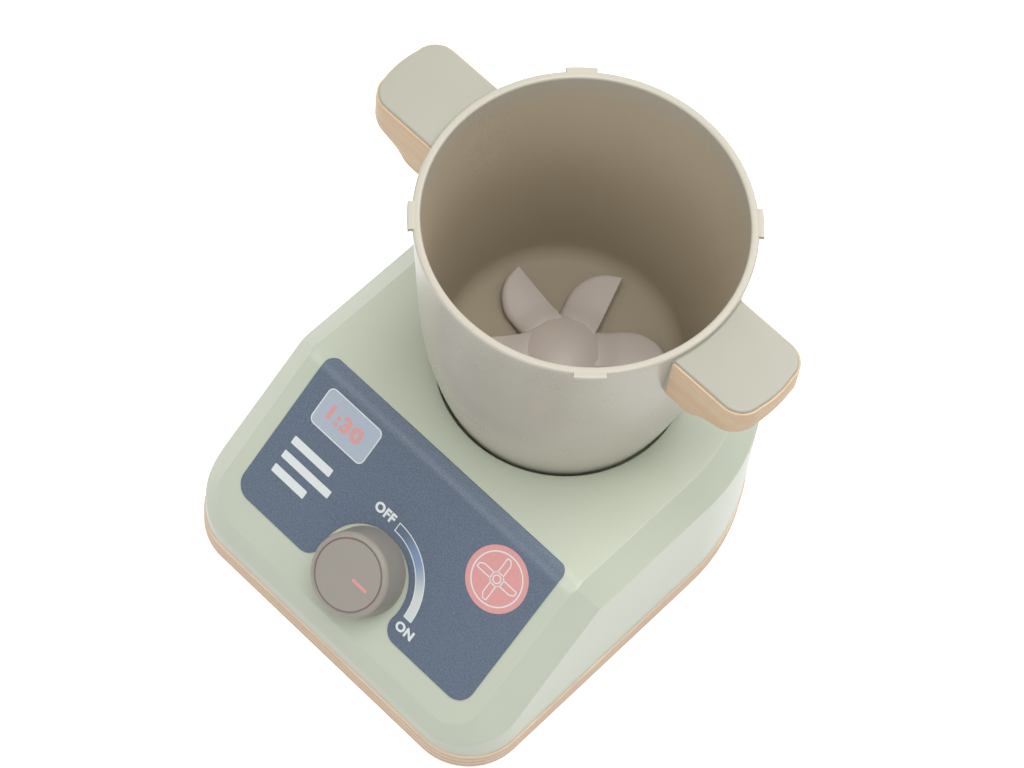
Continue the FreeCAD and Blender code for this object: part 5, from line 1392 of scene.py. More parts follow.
@dataclass
class ControlPanel:
    """Printed sheet on the slope with its display, bars, dial arc, words and fan sign."""

    layout: Layout
    half_width: float = 60.6
    rear: float = 2.70
    front: float = -64.3
    front_left: float = -62.4
    front_corner: float = 7.0
    rear_corner: float = 4.0
    lip_radius: float = 6.2
    notch_radius: float = 19.5
    notch_drop: float = 2.5
    thickness: float = 0.5
    ink: float = 0.05
    window: tuple = (-52.3, -21.8, -25.5, -6.0)
    bars: tuple = ((-32.7, -30.2, -33.6), (-28.3, -37.0, -40.3), (-36.0, -43.6, -47.1))
    bar_start: float = -52.7
    bar_corner: float = 0.45
    arc_radii: tuple = (22.36, 25.86)
    words: tuple = (("OFF", (-7.0, -28.2), 4.1, 0.98), ("ON", (25.8, -57.4), 3.9, 1.02))
    digits: tuple = ("1:30", (-39.3, -14.0), 6.4, 1.2)
    letter_weight: float = 0.045
    window_corner: float = 2.5
    frame_line: float = 0.45
    dial_line: float = 0.35
    sign_centre: tuple = (41.9, -17.9)
    sign_radius: float = 12.64
    ring_radius: float = 10.3
    ring_line: float = 0.5
    hub_radius: float = 1.55
    arm_radii: tuple = (2.5, 2.9)
    blade_line: float = 0.42
    blade: tuple = ((-1.35, 2.5, 0.0), (1.35, 2.5, 0.0), (1.35, 7.2, 1.4), (0.3, 8.9, 0.5),
                    (-1.35, 8.9, 0.3))

    @property
    def _notch(self) -> tuple[float, float]:
        """Centre of the notch and of the dial's arc, a little below the knob's."""
        return 0.0, self.layout.knob_along - self.notch_drop

    def _drawing(self, layer: int) -> Drawing:
        """Start a drawing on the sheet, or on the ink below it."""
        top = self.thickness + self.ink * layer
        return Drawing(self.layout.slope, top - 2 * self.ink, top)

    def _sheet_outline(self) -> Array:
        """Outline of the sheet with its round notch for the knob.

        Returns:
            Closed path.
        """
        knob = self._notch[1]
        right_u, right_near, right_turn = self._lip(self.front)
        left_u, left_near, left_turn = self._lip(self.front_left)
        corners = rounded_path([
            (right_u, self.front, 0.0),
            (self.half_width, self.front, self.front_corner),
            (self.half_width, self.rear, self.rear_corner),
            (-self.half_width, self.rear, self.rear_corner),
            (-self.half_width, self.front_left, self.front_corner),
            (-left_u, self.front_left, 0.0)], closed=False, step=5.0)
        left = arc_between((-left_u, self.front_left), (-left_near[0], left_near[1]),
                           self.lip_radius, 11)
        notch = circle((0, knob), self.notch_radius, 96, (180 - left_turn, right_turn))
        right = arc_between(right_near, (right_u, self.front), self.lip_radius, 11)
        return np.vstack([corners, left[1:], notch[1:-1], right[:-1]])

    def _lip(self, front: float) -> tuple[float, Array, float]:
        """Where a lip beside the notch leaves a front edge, meets the notch, and its turn.

        Args:
            front: v of the sheet's front edge on that side.

        Returns:
            u where it leaves the edge, the point on the notch, and that point's angle in degrees.
        """
        reach = self.notch_radius + self.lip_radius
        rise = self._notch[1] - front - self.lip_radius
        start = math.sqrt(reach * reach - rise * rise)
        near = np.array([start, -rise]) * self.notch_radius / reach
        return start, near + [0, self._notch[1]], math.degrees(math.atan2(near[1], near[0]))

    def _arc(self) -> None:
        """Draw the dial's arc from its open end at OFF to its solid end at ON."""
        knob = self._notch
        inner, outer = self.arc_radii
        drawing = self._drawing(1)
        drawing.strip(circle(knob, outer, 61, (90, 0)), circle(knob, inner, 61, (90, 0)),
                      closed=False)
        piece = drawing.finish_piece("panel_dial_arc", Finishes.ARC_INK)
        along = piece.data.attributes.new("along", "FLOAT", "POINT")
        spots = np.array([vertex.co for vertex in piece.data.vertices]) / MM
        local = moved(spots, self.layout.slope.matrix.inverted())
        turns = np.arctan2(local[:, 1] - knob[1], local[:, 0])
        along.data.foreach_set("value", 1 - turns / (math.pi / 2))
        edge = self._drawing(2)
        line = np.vstack([circle(knob, outer, 61, (0, 90)), circle(knob, inner, 61, (90, 0))])
        edge.outline(line, self.dial_line)
        edge.finish_piece("panel_dial_edge", Finishes.PALE_INK)

    def _sign(self) -> None:
        """Draw the round sign with its ring and four-bladed fan."""
        disc = self._drawing(1)
        disc.polygon(circle(self.sign_centre, self.sign_radius))
        disc.finish_piece("panel_sign_disc", Finishes.PINK_INK)
        lines = self._drawing(2)
        lines.outline(circle(self.sign_centre, self.ring_radius), self.ring_line)
        lines.outline(circle(self.sign_centre, self.hub_radius, 36), self.frame_line)
        blade = rounded_path(self.blade, step=12.0)
        for turn in (0, 90, 180, 270):
            sine, cosine = math.sin(math.radians(turn)), math.cos(math.radians(turn))
            spun = blade @ np.array([[cosine, sine], [-sine, cosine]]) + self.sign_centre
            lines.outline(spun, self.blade_line)
            inner, outer = (circle(self.sign_centre, radius, 9, (turn + 22, turn + 68))
                            for radius in self.arm_radii)
            lines.strip(outer, inner, closed=False)
        lines.finish_piece("panel_sign_fan", Finishes.PALE_INK)

    def build(self) -> None:
        """Make the sheet and everything printed on it."""
        sheet = Drawing(self.layout.slope, -0.1, self.thickness)
        sheet.polygon(self._sheet_outline())
        bend = -self.layout.slope.ridge_radius * math.tan(self.layout.slope.angle / 2)
        sheet.cross_cuts(np.linspace(bend - 0.3, self.rear - 0.3, 12))
        sheet.finish_piece("control_sheet", Finishes.PANEL, stands_for=["control_overlay"])
        window = self._drawing(1)
        frame_path = rounded_box(self.window, self.window_corner)
        window.polygon(frame_path)
        window.finish_piece("panel_window", Finishes.WINDOW_INK)
        pale = self._drawing(2)
        pale.outline(frame_path, self.frame_line)
        for right, high, low in self.bars:
            pale.polygon(rounded_box((self.bar_start, low, right, high), self.bar_corner))
        for text, centre, height, spread in self.words:
            pale.lettering(text, centre, height, self.letter_weight, spread)
        pale.finish_piece("panel_pale_print", Finishes.PALE_INK)
        digits = self._drawing(2)
        text, centre, height, spread = self.digits
        digits.lettering(text, centre, height, self.letter_weight, spread)
        digits.finish_piece("panel_display_digits", Finishes.PINK_INK)
        self._arc()
        self._sign()


# ---------------------------------------------------------------- knob

@dataclass
class Knob:
    """Hollow conical knob with a soft shoulder, a ring groove and a raised pointer."""

    layout: Layout
    base_radius: float = 16.8
    top_radius: float = 16.0
    height: float = 14.4
    lift: float = 0.4
    shoulder: float = 2.1
    wall: float = 2.2
    hub_radius: float = 5.5
    hub_start: float = 3.0
    shaft_radius: float = 3.0
    shaft_reach: float = 8.6
    groove_radius: float = 13.6
    groove_width: float = 0.5
    groove_depth: float = 0.6
    pointer: tuple = (2.3, 9.7, 1.3)
    mark_place: float = 11.9
    mark_radius: float = 1.15
    mark_line: float = 0.22
    segments: int = 160

    @property
    def _matrix(self) -> Matrix:
        """Matrix from the knob's own frame to the object's."""
        return self.layout.slope.matrix @ Matrix.Translation((0, self.layout.knob_along, 0))

    def _lay(self, flat: Array) -> Array:
        """Lay points (x, y, lift) on the knob's face."""
        return moved(flat + [0, 0, self.height], self._matrix)

    def build(self) -> None:
        """Make the knob, the groove's ink, the pointer and the moulding mark."""
        groove_in = self.groove_radius - self.groove_width / 2
        groove_out = self.groove_radius + self.groove_width / 2
        cap = self.height - self.wall
        outer = rounded_path([
            (self.base_radius - 0.5, self.lift, 0.0),
            (self.base_radius, self.lift, 0.45),
            (self.top_radius, self.height, self.shoulder),
            (groove_out + 0.25, self.height, 0.0)], closed=False, step=6.0)
        groove = rounded_path([
            (groove_out + 0.2, self.height, 0.0), (groove_out, self.height, 0.15),
            (groove_out, self.height - self.groove_depth, 0.1),
            (groove_in, self.height - self.groove_depth, 0.1),
            (groove_in, self.height, 0.15), (groove_in - 0.2, self.height, 0.0)],
            closed=False, step=20.0)
        inside = np.array([
            (6.0, self.height), (0.0, self.height), (0.0, self.shaft_reach),
            (self.shaft_radius, self.shaft_reach), (self.shaft_radius, self.hub_start),
            (self.hub_radius, self.hub_start), (self.hub_radius, cap),
            (self.top_radius - self.wall, cap), (self.base_radius - self.wall, self.lift),
            (self.base_radius - 0.5, self.lift)])
        draft = Draft()
        draft.add_grid(turned(np.vstack([outer, groove, inside]), self.segments))
        publish(draft.placed(self._matrix), "knob_cap", Finishes.KNOB, "knob", ["knob"],
                sharp=50.0)
        floor = -self.groove_depth
        ink = Drawing(self.layout.slope, floor - 0.05, floor + 0.06)
        ink.strip(circle((0, 0), groove_out - 0.02, 160), circle((0, 0), groove_in + 0.02, 160),
                  closed=True)
        ink.finish_piece("knob_groove_ring", Finishes.GROOVE_INK, "knob", lay=self._lay)
        start, end, width = self.pointer
        bar = Drawing(self.layout.slope, -0.1, 0.06)
        bar.polygon(rounded_box((start, -width / 2, end, width / 2), width * 0.49, 15.0))
        bar.finish_piece("knob_pointer", Finishes.PINK_INK, "knob", lay=self._lay)
        mark = Drawing(self.layout.slope, -0.1, 0.05)
        mark.outline(circle((self.mark_place, 0), self.mark_radius, 32), self.mark_line)
        mark.finish_piece("knob_moulding_mark", Finishes.KNOB, "knob", lay=self._lay)


# ---------------------------------------------------------------- pot

@dataclass
class Pot:
    """Turned pot with a soft rim, bayonet lugs, handle seats and flat handle tops."""

    layout: Layout
    rim_radius: float = 60.0
    wall: float = 3.0
    taper: float = 4.84
    bend_height: float = 58.0
    bend_radius: float = 250.0
    heel_height: float = 6.0
    heel_radius: float = 7.0
    foot_inset: float = 4.2
    foot_wall: float = 3.0
    foot_height: float = 8.0
    floor: float = 3.0
    floor_corner: float = 8.0
    rim_round: float = 1.0
    boss_radius: float = 7.5
    boss_height: float = 2.5
    hole_radius: float = 4.5
    seat_radius: float = 60.2
    seat_half_width: float = 17.3
    seat_low: float = 155.9
    tongue_half: float = 16.8
    tongue_corner: float = 8.4
    tongue_bow: float = 0.9
    tongue_drop: float = 3.0
    tongue_thickness: float = 2.6
    tongue_round: float = 0.9
    tongue_sink: float = 2.85
    fillet: float = 1.3
    cove_sink: float = 1.2
    cove_drop: float = 0.6
    seat_sink: float = 4.5
    lug_width: float = 11.0
    lug_reach: float = 1.6
    lug_height: float = 1.8
    lug_sink: float = 2.0
    lug_ends: tuple = (0.35, 0.12, 0.0)
    segments: int = 200

    def _profile(self) -> Array:
        """Closed profile of the pot's wall, floor and foot, as (radius, height).

        Returns:
            Array of points, one row each.
        """
        height = self.layout.rim - self.layout.pot_low
        taper = math.radians(self.taper)
        bend_x = self.rim_radius - (height - self.bend_height) * math.tan(taper)
        centre = np.array([bend_x - self.bend_radius * math.cos(taper),
                           self.bend_height + self.bend_radius * math.sin(taper)])
        drop = centre[1] - self.heel_height
        heel_x = centre[0] + math.sqrt(self.bend_radius ** 2 - drop * drop)
        foot = heel_x - self.foot_inset
        inside = self.foot_height + self.floor
        reach = self.bend_radius - self.wall
        corner_z = inside + self.floor_corner
        sink = centre[1] - corner_z
        corner_x = centre[0] + math.sqrt((reach - self.floor_corner) ** 2 - sink * sink)
        out_x = centre[0] + (corner_x - centre[0]) * reach / (reach - self.floor_corner)
        out_z = centre[1] - sink * reach / (reach - self.floor_corner)
        top_in = centre + reach * np.array([math.cos(taper), -math.sin(taper)])
        rim_in = top_in[0] + (height - top_in[1]) * math.tan(taper)
        ring = rounded_path([
            (bend_x, self.bend_height, 0.0), (self.rim_radius, height, self.rim_round),
            (rim_in, height, self.rim_round), (top_in[0], top_in[1], 0.0)],
            closed=False, step=9.0)
        floor = rounded_path([
            (corner_x, inside, 0.0), (self.boss_radius, inside, 0.6),
            (self.boss_radius, inside + self.boss_height, 0.5),
            (self.hole_radius, inside + self.boss_height, 0.0),
            (self.hole_radius, self.foot_height, 0.0),
            (foot - self.foot_wall, self.foot_height, 0.5),
            (foot - self.foot_wall, 0.0, 0.0)], closed=False, step=15.0)
        return np.vstack([
            arc_between((foot, 0.0), (heel_x, self.heel_height), self.heel_radius, 9),
            arc_between((heel_x, self.heel_height), (bend_x, self.bend_height),
                        self.bend_radius, 18)[1:-1],
            refined(ring, 4.0, closed=False),
            arc_between(top_in, (out_x, out_z), -reach, 18)[1:-1],
            arc_between((out_x, out_z), (corner_x, inside), -self.floor_corner, 10),
            refined(floor[1:], 6.0, closed=False)])

    def _wall_radius(self, height: float) -> float:
        """Outer radius of the wall at a height near the rim."""
        return self.rim_radius - (self.layout.rim - height) * math.tan(math.radians(self.taper))

    def tongue_outline(self, grow: float, root: float) -> Array:
        """Outline of a handle's top as seen from above.

        Args:
            grow: margin added all round.
            root: distance of the straight inner end from the pot's axis.

        Returns:
            Closed counter-clockwise path.
        """
        half, corner = self.tongue_half + grow, self.tongue_corner + grow
        end = self.layout.tongue_tip - self.tongue_bow + grow
        chord = half - corner
        bow = (chord * chord + self.tongue_bow ** 2) / (2 * self.tongue_bow)
        low = arc_between((end - corner, -half), (end, -chord), corner, 12)
        tip = arc_between((end, -chord), (end, chord), bow, 13)[1:-1]
        high = arc_between((end, chord), (end - corner, half), corner, 12)
        return np.vstack([[(root, -half)], low, tip, high, [(root, half)]])

    def _tongue(self, side: int) -> Draft:
        """Flat handle top with soft edges, and the fillet that joins it to the wall.

        Args:
            side: 1 for the right handle, -1 for the left.

        Returns:
            The faces, in place.
        """
        top = self.layout.rim - self.tongue_drop
        outline = refined(self.tongue_outline(0.0, self.rim_radius - self.tongue_sink), 3.0)
        normals = outward(outline)
        draft = Draft()
        edge = [(inset, top - drop) for inset, drop in quarter_round(self.tongue_round, 7)]
        edge += [(0.0, top - self.tongue_thickness)]
        rings = [lifted(outline - normals * inset, height) for inset, height in edge]
        draft.add_face(rings[0])
        draft.add_grid(np.array(rings))
        draft.add_face(rings[-1][::-1])
        reach = math.degrees(math.asin((self.tongue_half - 0.3) / self.rim_radius))
        wall = self._wall_radius(top)
        lean = math.tan(math.radians(self.taper))
        cove = [(wall + drop + inset * lean, top + inset)
                for inset, drop in quarter_round(self.fillet, 8)]
        low, inner = top - self.cove_drop, wall - self.cove_sink
        cove = np.array(cove + [(wall + self.fillet, low), (inner, low),
                                (inner, top + self.fillet)])
        sector(draft, cove, (-reach, reach), 40)
        return draft.placed(self.layout.on_pot_axis(side))

    def _seat(self, side: int) -> Draft:
        """Raised pad on the wall behind a wooden grip.

        Args:
            side: 1 for the right handle, -1 for the left.

        Returns:
            The faces, in place.
        """
        high = self.layout.rim - self.tongue_drop - 0.3
        profile = rounded_path([
            (self.rim_radius - self.seat_sink, self.seat_low, 0.0),
            (self.seat_radius, self.seat_low, 0.5),
            (self.seat_radius, high, 0.0), (self.rim_radius - 2.0, high, 0.0)], step=15.0)
        reach = math.degrees(math.asin(self.seat_half_width / self.seat_radius))
        draft = Draft()
        sector(draft, profile, (-reach, reach), 48)
        return draft.placed(self.layout.on_pot_axis(side))

    def _lug(self) -> Draft:
        """One bayonet lug, at angle zero round the pot's axis.

        Returns:
            The faces, in place.
        """
        rim = self.layout.rim
        root, tip = self.rim_radius - self.lug_sink, self.rim_radius + self.lug_reach
        profile = rounded_path([
            (root, rim - self.lug_height, 0.0), (tip, rim - self.lug_height, 0.4),
            (tip, rim - 0.02, 0.7), (self.rim_radius - 0.8, rim - 0.02, 0.0),
            (root, rim - 0.4, 0.0)], step=15.0)
        half = math.degrees(self.lug_width / 2 / self.rim_radius)
        middle = profile.mean(0)
        caps = [(profile + (middle - profile) * share * 0.5, half - share * 0.9)
                for share in self.lug_ends]
        body = turned(profile, 16, (-half, half))
        skin = np.array([
            *(turned(points, 1, (-turn, -turn))[:, 0] for points, turn in caps),
            *body.transpose(1, 0, 2)[1:-1],
            *(turned(points, 1, (turn, turn))[:, 0] for points, turn in reversed(caps))])
        draft = Draft()
        draft.add_grid(skin)
        draft.add_face(skin[0][::-1])
        draft.add_face(skin[-1])
        return draft.placed(self.layout.on_pot_axis())

    def _mark_inside(self, mesh: bpy.types.Mesh) -> None:
        """Store the depth inside the pot, from 0 at the rim to 1 at the floor, where its finish
        paints warm bounce light and shade.

        Args:
            mesh: the pot's mesh, in metres.
        """
        mark = mesh.attributes.new("inside", "FLOAT", "POINT")
        floor = self.layout.pot_low + self.foot_height + self.floor - 0.5
        for vertex in mesh.vertices:
            x, y, z = (np.array(vertex.co) / MM) - self.layout.pot_axis
            within = x * vertex.normal.x + y * vertex.normal.y < 0.3 * math.hypot(x, y)
            depth = (self.layout.rim - z) / (self.layout.rim - floor)
            mark.data[vertex.index].value = min(max(depth, 0.0), 1.0) * (within and z > floor)

    def build(self) -> None:
        """Make the pot with its handle tops, seats and lugs."""
        draft = Draft()
        profile = self._profile() + [0, self.layout.pot_low]
        draft.add_grid(turned(profile, self.segments), wrap_rows=True)
        shell = draft.placed(self.layout.on_pot_axis())
        wall = publish(shell, "pot_wall", Finishes.POT, "pot", ["pot_shell"], sharp=60.0)
        self._mark_inside(wall.data)
        for side, label in ((-1, "left"), (1, "right")):
            # The handle tops take a darker copy of the pot's plastic: painted shade.
            publish(self._tongue(side), f"pot_handle_top_{label}", Finishes.SHADED_HANDLE_TOP, "pot",
                    ["pot_shell"], sharp=60.0)
            publish(self._seat(side), f"pot_handle_seat_{label}", Finishes.POT, "pot",
                    ["pot_shell"], sharp=40.0)
        lugs = bpy.data.objects.new("pot_rim_lugs", self._lug().to_mesh("pot_rim_lugs", 45.0))
        PolarPattern(4, 45.0, self.layout.pot_axis).spread(lugs, Finishes.POT)
        dress(lugs, Finishes.POT, "pot", ["pot_shell"])


@dataclass(frozen=True)
class PolarPattern:
    """Geometry Nodes tree that repeats a mesh evenly round an upright axis."""

    count: int
    first_angle: float
    centre: Array

    def spread(self, piece: bpy.types.Object, finish: Finishes) -> None:
        """Replace a piece's mesh with turned copies of it.

        Args:
            piece: object that holds one copy, in place.
            finish: finish of every copy.
        """
        bpy.context.scene.collection.objects.link(piece)
        tree = self._tree()
        modifier = piece.modifiers.new("polar_pattern", "NODES")
        modifier.node_group = tree
        values = {"Count": self.count, "First Angle": math.radians(self.first_angle),
                  "Centre": tuple(self.centre * MM), "Finish": finish.material}
        for item in tree.interface.items_tree:
            if item.item_type == "SOCKET" and item.in_out == "INPUT" and item.name in values:
                modifier[item.identifier] = values[item.name]
        piece.update_tag()
        graph = bpy.context.evaluated_depsgraph_get()
        mesh = bpy.data.meshes.new_from_object(piece.evaluated_get(graph))
        piece.modifiers.remove(modifier)
        piece.data = mesh

    @staticmethod
    def _tree() -> bpy.types.NodeTree:
        """Build the pattern's node tree.

        Returns:
            The tree.
        """
        tree = bpy.data.node_groups.new("polar_pattern", "GeometryNodeTree")
        for name, kind in (("Geometry", "NodeSocketGeometry"), ("Count", "NodeSocketInt"),
                           ("First Angle", "NodeSocketFloat"), ("Centre", "NodeSocketVector"),
                           ("Finish", "NodeSocketMaterial")):
            tree.interface.new_socket(name, in_out="INPUT", socket_type=kind)
        tree.interface.new_socket("Geometry", in_out="OUTPUT", socket_type="NodeSocketGeometry")

        def add(kind: str, inputs: dict | None = None, **settings: object) -> bpy.types.NodeSocket:
            """Add a node and return its first output."""
            return add_node(tree, kind, settings, inputs).outputs[0]

        given = tree.nodes.new("NodeGroupInput").outputs
        number = add("GeometryNodeInputIndex")
        step = add("ShaderNodeMath", {0: math.tau, 1: given["Count"]}, operation="DIVIDE")
        turn = add("ShaderNodeMath", {0: number, 1: step, 2: given["First Angle"]},
                   operation="MULTIPLY_ADD")
        spin = add("FunctionNodeEulerToRotation", {0: add("ShaderNodeCombineXYZ", {"Z": turn})})
        back = add("ShaderNodeVectorMath", {0: given["Centre"], 3: -1.0}, operation="SCALE")
        centred = add("GeometryNodeTransform", {
            "Geometry": given["Geometry"], "Translation": back})
        points = add("GeometryNodeMeshLine", {
            "Count": given["Count"], "Start Location": given["Centre"], "Offset": (0, 0, 0)})
        copies = add("GeometryNodeInstanceOnPoints", {
            "Points": points, "Instance": centred, "Rotation": spin})
        real = add("GeometryNodeRealizeInstances", {0: copies})
        painted = add("GeometryNodeSetMaterial", {"Geometry": real, "Material": given["Finish"]})
        tree.links.new(painted, tree.nodes.new("NodeGroupOutput").inputs[0])
        return tree


# ---------------------------------------------------------------- wooden grips

@dataclass
class Grip:
    """Shaped wooden block under a handle's top, deep at the pot and thin at its tip."""

    layout: Layout
    pot: Pot
    side: int
    label: str
    lip: float = 0.7
    lip_drop: float = 1.2
    depth: float = 24.2
    deep_length: float = 6.0
    belly_radius: float = 6.0
    hollow_radius: float = 8.0
    rise_angle: float = 55.0
    tail_angle: float = 20.0
    tip_round: float = 3.0
    edge_round: float = 0.8
    lip_round: float = 0.35
    bed_depth: float = 1.2
    thinnest: float = 1.5

    def _underside(self) -> Array:
        """Side view of the underside from the pot to the tip, as (x, height).

        Returns:
            Array of points, one row each.
        """
        rise, tail = math.radians(self.rise_angle), math.radians(self.tail_angle)
        deep = self.pot.rim_radius + self.deep_length
        belly_x = deep + self.belly_radius * math.sin(rise)
        belly_z = self.belly_radius * (1 - math.cos(rise))
        hollow_x = belly_x + self.hollow_radius * (math.sin(rise) - math.sin(tail))
        hollow_z = belly_z + self.hollow_radius * (math.cos(tail) - math.cos(rise))
        tip_x = self.layout.tongue_tip + self.lip
        corner_z = hollow_z + (tip_x - hollow_x) * math.tan(tail)
        run = self.tip_round * math.tan((math.pi / 2 - tail) / 2)
        tip_z = corner_z + run
        line = np.vstack([
            [(self.pot.rim_radius - 5, 0.0)],
            arc_between((deep, 0.0), (belly_x, belly_z), self.belly_radius, 9),
            arc_between((belly_x, belly_z), (hollow_x, hollow_z), -self.hollow_radius, 9),
            arc_between((tip_x - run * math.cos(tail), corner_z - run * math.sin(tail)),
                        (tip_x, tip_z), self.tip_round, 9)])
        low = self.layout.rim - self.pot.tongue_drop - self.depth
        return line + [0, low]

    def _plan(self) -> Array:
        """Outline seen from above, coped round the pot.

        Returns:
            Closed path.
        """
        outline = self.pot.tongue_outline(self.lip, 0.0)[1:-1]
        half = self.pot.tongue_half + self.lip
        reach = self.pot.seat_radius
        turn = math.degrees(math.asin(half / reach))
        cope = circle((0, 0), reach, 25, (turn, -turn))
        return refined(np.vstack([cope[-1:], outline, cope[:-1]]), 1.6)

    def build(self) -> None:
        """Make the block."""
        underside, plan = self._underside(), self._plan()
        normals = outward(plan)
        top = self.layout.rim - self.pot.tongue_drop - self.lip_drop
        along = plan[:, 0].clip(self.pot.seat_radius + 5, self.layout.tongue_tip - 9)
        spine = np.column_stack([along, np.zeros(len(plan))])

        def floor_at(spots: Array) -> Array:
            """Height of the underside below each point, clear of the top."""
            heights = np.interp(spots[:, 0], underside[:, 0], underside[:, 1])
            return np.minimum(heights, top - self.thinnest)

        bed = plan - normals * (self.lip + 0.4)
        step = plan - normals * (self.lip - 0.02)
        sunk = top - self.bed_depth
        rings = [lifted(bed + (spine - bed) * share, sunk) for share in (1.0, 0.6, 0.25, 0.0)]
        rings += [lifted(step, sunk), lifted(step, top)]
        rings += [lifted(plan - normals * inset, top - drop)
                  for inset, drop in quarter_round(self.lip_round, 4)]
        rings += [lifted(plan, (top - self.lip_round) * (1 - share)
                         + (floor_at(plan) + self.edge_round) * share)
                  for share in (0.25, 0.5, 0.75)]
        for inset, drop in reversed(quarter_round(self.edge_round, 6)):
            spots = plan - normals * inset
            rings.append(lifted(spots, floor_at(spots) + drop))
        edge = plan - normals * self.edge_round
        for share in (0.15, 0.35, 0.6, 1.0):
            spots = edge + (spine - edge) * share
            rings.append(lifted(spots, floor_at(spots)))
        draft = Draft()
        draft.add_grid(np.array(rings))
        draft = draft.placed(self.layout.on_pot_axis(self.side))
        publish(draft, f"grip_block_{self.label}", Finishes.GRIP, "pot",
                [f"handle_wood_{self.label}"], sharp=50.0)


# ---------------------------------------------------------------- rotor

@dataclass
class Rotor:
    """Six low, cambered wings round a domed hub, straight on one side and round on the other."""

    layout: Layout
    low: float
    hub_radius: float = 15.3
    hub_height: float = 9.0
    hub_side: float = 4.6
    hub_wall: float = 2.2
    hub_round: float = 2.6
    hollow_depth: float = 3.87
    bore_radius: float = 2.5
    bore_top: float = 7.2
    count: int = 6
    first_turn: float = -39.0
    tip: float = 37.99
    straight_side: float = 8.2
    round_side: float = 7.4
    shoulder_drop: float = 14.5
    tip_radius: float = 15.7
    root: float = 12.8
    thickness: float = 2.2
    swell: float = 1.5
    swell_radius: float = 22.0
    wing_low: float = 0.6
    rise: float = 1.4
    camber: float = 24.0
    crisp_edge: float = 0.35
    soft_edge: float = 1.9
    soft_drop: float = 1.3
    lower_edge: float = 0.3

    def _heights(self, spots: Array, upper: bool) -> Array:
        """Height of a wing's lower or upper face, which swells up towards the hub.

        Args:
            spots: (x, y) points.
            upper: whether the upper face is meant.

        Returns:
            A height for each point.
        """
        lift = self.thickness if upper else 0.0
        line = arc_between((-self.round_side, self.wing_low + lift),
                           (self.straight_side, self.wing_low + self.rise + lift),
                           -(self.camber + lift), 31)
        heights = np.interp(spots[:, 0], line[:, 0], line[:, 1])
        if upper:
            near = ((self.swell_radius - np.hypot(*spots.T))
                    / (self.swell_radius - self.root)).clip(0, 1)
            heights += self.swell * near * near * (3 - 2 * near)
        return heights

    def _outline(self) -> tuple[Array, Array]:
        """Outline of a wing along +Y, and the width of its upper edge's rounding.

        Returns:
            The closed path, and the width at each of its points.
        """
        foot = math.sqrt(self.root ** 2 - self.straight_side ** 2)
        heel = math.sqrt(self.root ** 2 - self.round_side ** 2)
        shoulder = self.tip - self.shoulder_drop
        straight = np.array([(self.straight_side, foot), (self.straight_side, self.tip)])
        tip = arc_between(straight[1], (-self.round_side, shoulder), self.tip_radius, 36)
        inner = arc_between((-self.round_side, heel), straight[0], -self.root, 14)
        side = refined(np.vstack([tip[-1:], inner[:1]]), 1.2, closed=False)[1:-1]
        straight = refined(straight, 1.2, closed=False)[:-1]
        widths = np.concatenate([
            np.full(len(straight), self.crisp_edge),
            np.linspace(0, 6, len(tip)).clip(0, 1) * (self.soft_edge - self.crisp_edge)
            + self.crisp_edge,
            np.full(len(side), self.soft_edge), np.full(len(inner) - 1, self.crisp_edge)])
        return np.vstack([straight, tip, side, inner[:-1]]), widths

    def _wing(self) -> Draft:
        """One wing, along +Y from the axis.

        Returns:
            The faces.
        """
        outline, widths = self._outline()
        normals = outward(outline)
        drops = widths.clip(0, self.soft_drop)
        rings = []
        small = self.lower_edge
        for inset, lift in reversed(quarter_round(small, 3)):
            spots = outline - normals * (small - inset)
            rings.append(lifted(spots, self._heights(spots, False) + small - lift))
        for inset, drop in reversed(quarter_round(1.0, 8)):
            spots = outline - normals * (widths * inset)[:, None]
            rings.append(lifted(spots, self._heights(spots, True) - drops * drop))
        draft = Draft()
        draft.add_grid(np.array(rings))
        for ring, upper in ((rings[0], False), (rings[-1], True)):
            draft.add_sheet(ring[:, :2], self._within(ring[:, :2]),
                            lambda spots, upper=upper: self._heights(spots, upper))
        return draft

    @staticmethod
    def _within(outline: Array, step: float = 1.3, margin: float = 0.7) -> Array:
        """Points of an even grid that lie inside an outline, clear of its edge.

        Args:
            outline: closed path.
            step: spacing of the grid.
            margin: least distance to the outline.

        Returns:
            Array of points, one row each.
        """
        low, high = outline.min(axis=0), outline.max(axis=0)
        across, along = np.meshgrid(np.arange(low[0], high[0], step),
                                    np.arange(low[1], high[1], step))
        spots = np.column_stack([across.ravel(), along.ravel()])
        ends = np.roll(outline, -1, axis=0)
        crossed = np.zeros(len(spots), bool)
        for (x0, y0), (x1, y1) in zip(outline, ends):
            beside = (y0 > spots[:, 1]) != (y1 > spots[:, 1])
            with np.errstate(divide="ignore", invalid="ignore"):
                reach = x0 + (spots[:, 1] - y0) * (x1 - x0) / (y1 - y0)
            crossed ^= beside & (spots[:, 0] < reach)
        gaps = np.hypot(*(spots[:, None] - outline[None]).transpose(2, 0, 1)).min(axis=1)
        return spots[crossed & (gaps > margin)]

    def _hub(self) -> Draft:
        """Domed hub, hollow beneath, with a bore for the spindle.

        Returns:
            The faces.
        """
        over = self.hub_height - self.hub_side
        dome = (self.hub_radius ** 2 + over * over) / (2 * over)
        crown = arc_between((self.hub_radius, self.hub_side), (0.0, self.hub_height), dome, 22)
        side = rounded_path([
            (self.hub_radius - self.hub_wall, self.hollow_depth, 0.0),
            (self.hub_radius - self.hub_wall, 0.0, 0.3), (self.hub_radius, 0.0, 0.6),
            (self.hub_radius, self.hub_side, self.hub_round), (*crown[2], 0.0)],
            closed=False, step=12.0)
        inner = np.array([
            (0.0, self.bore_top), (self.bore_radius, self.bore_top),
            (self.bore_radius, self.hollow_depth)])
        draft = Draft()
        draft.add_grid(turned(np.vstack([inner, side, crown[3:]]), 120))
        return draft

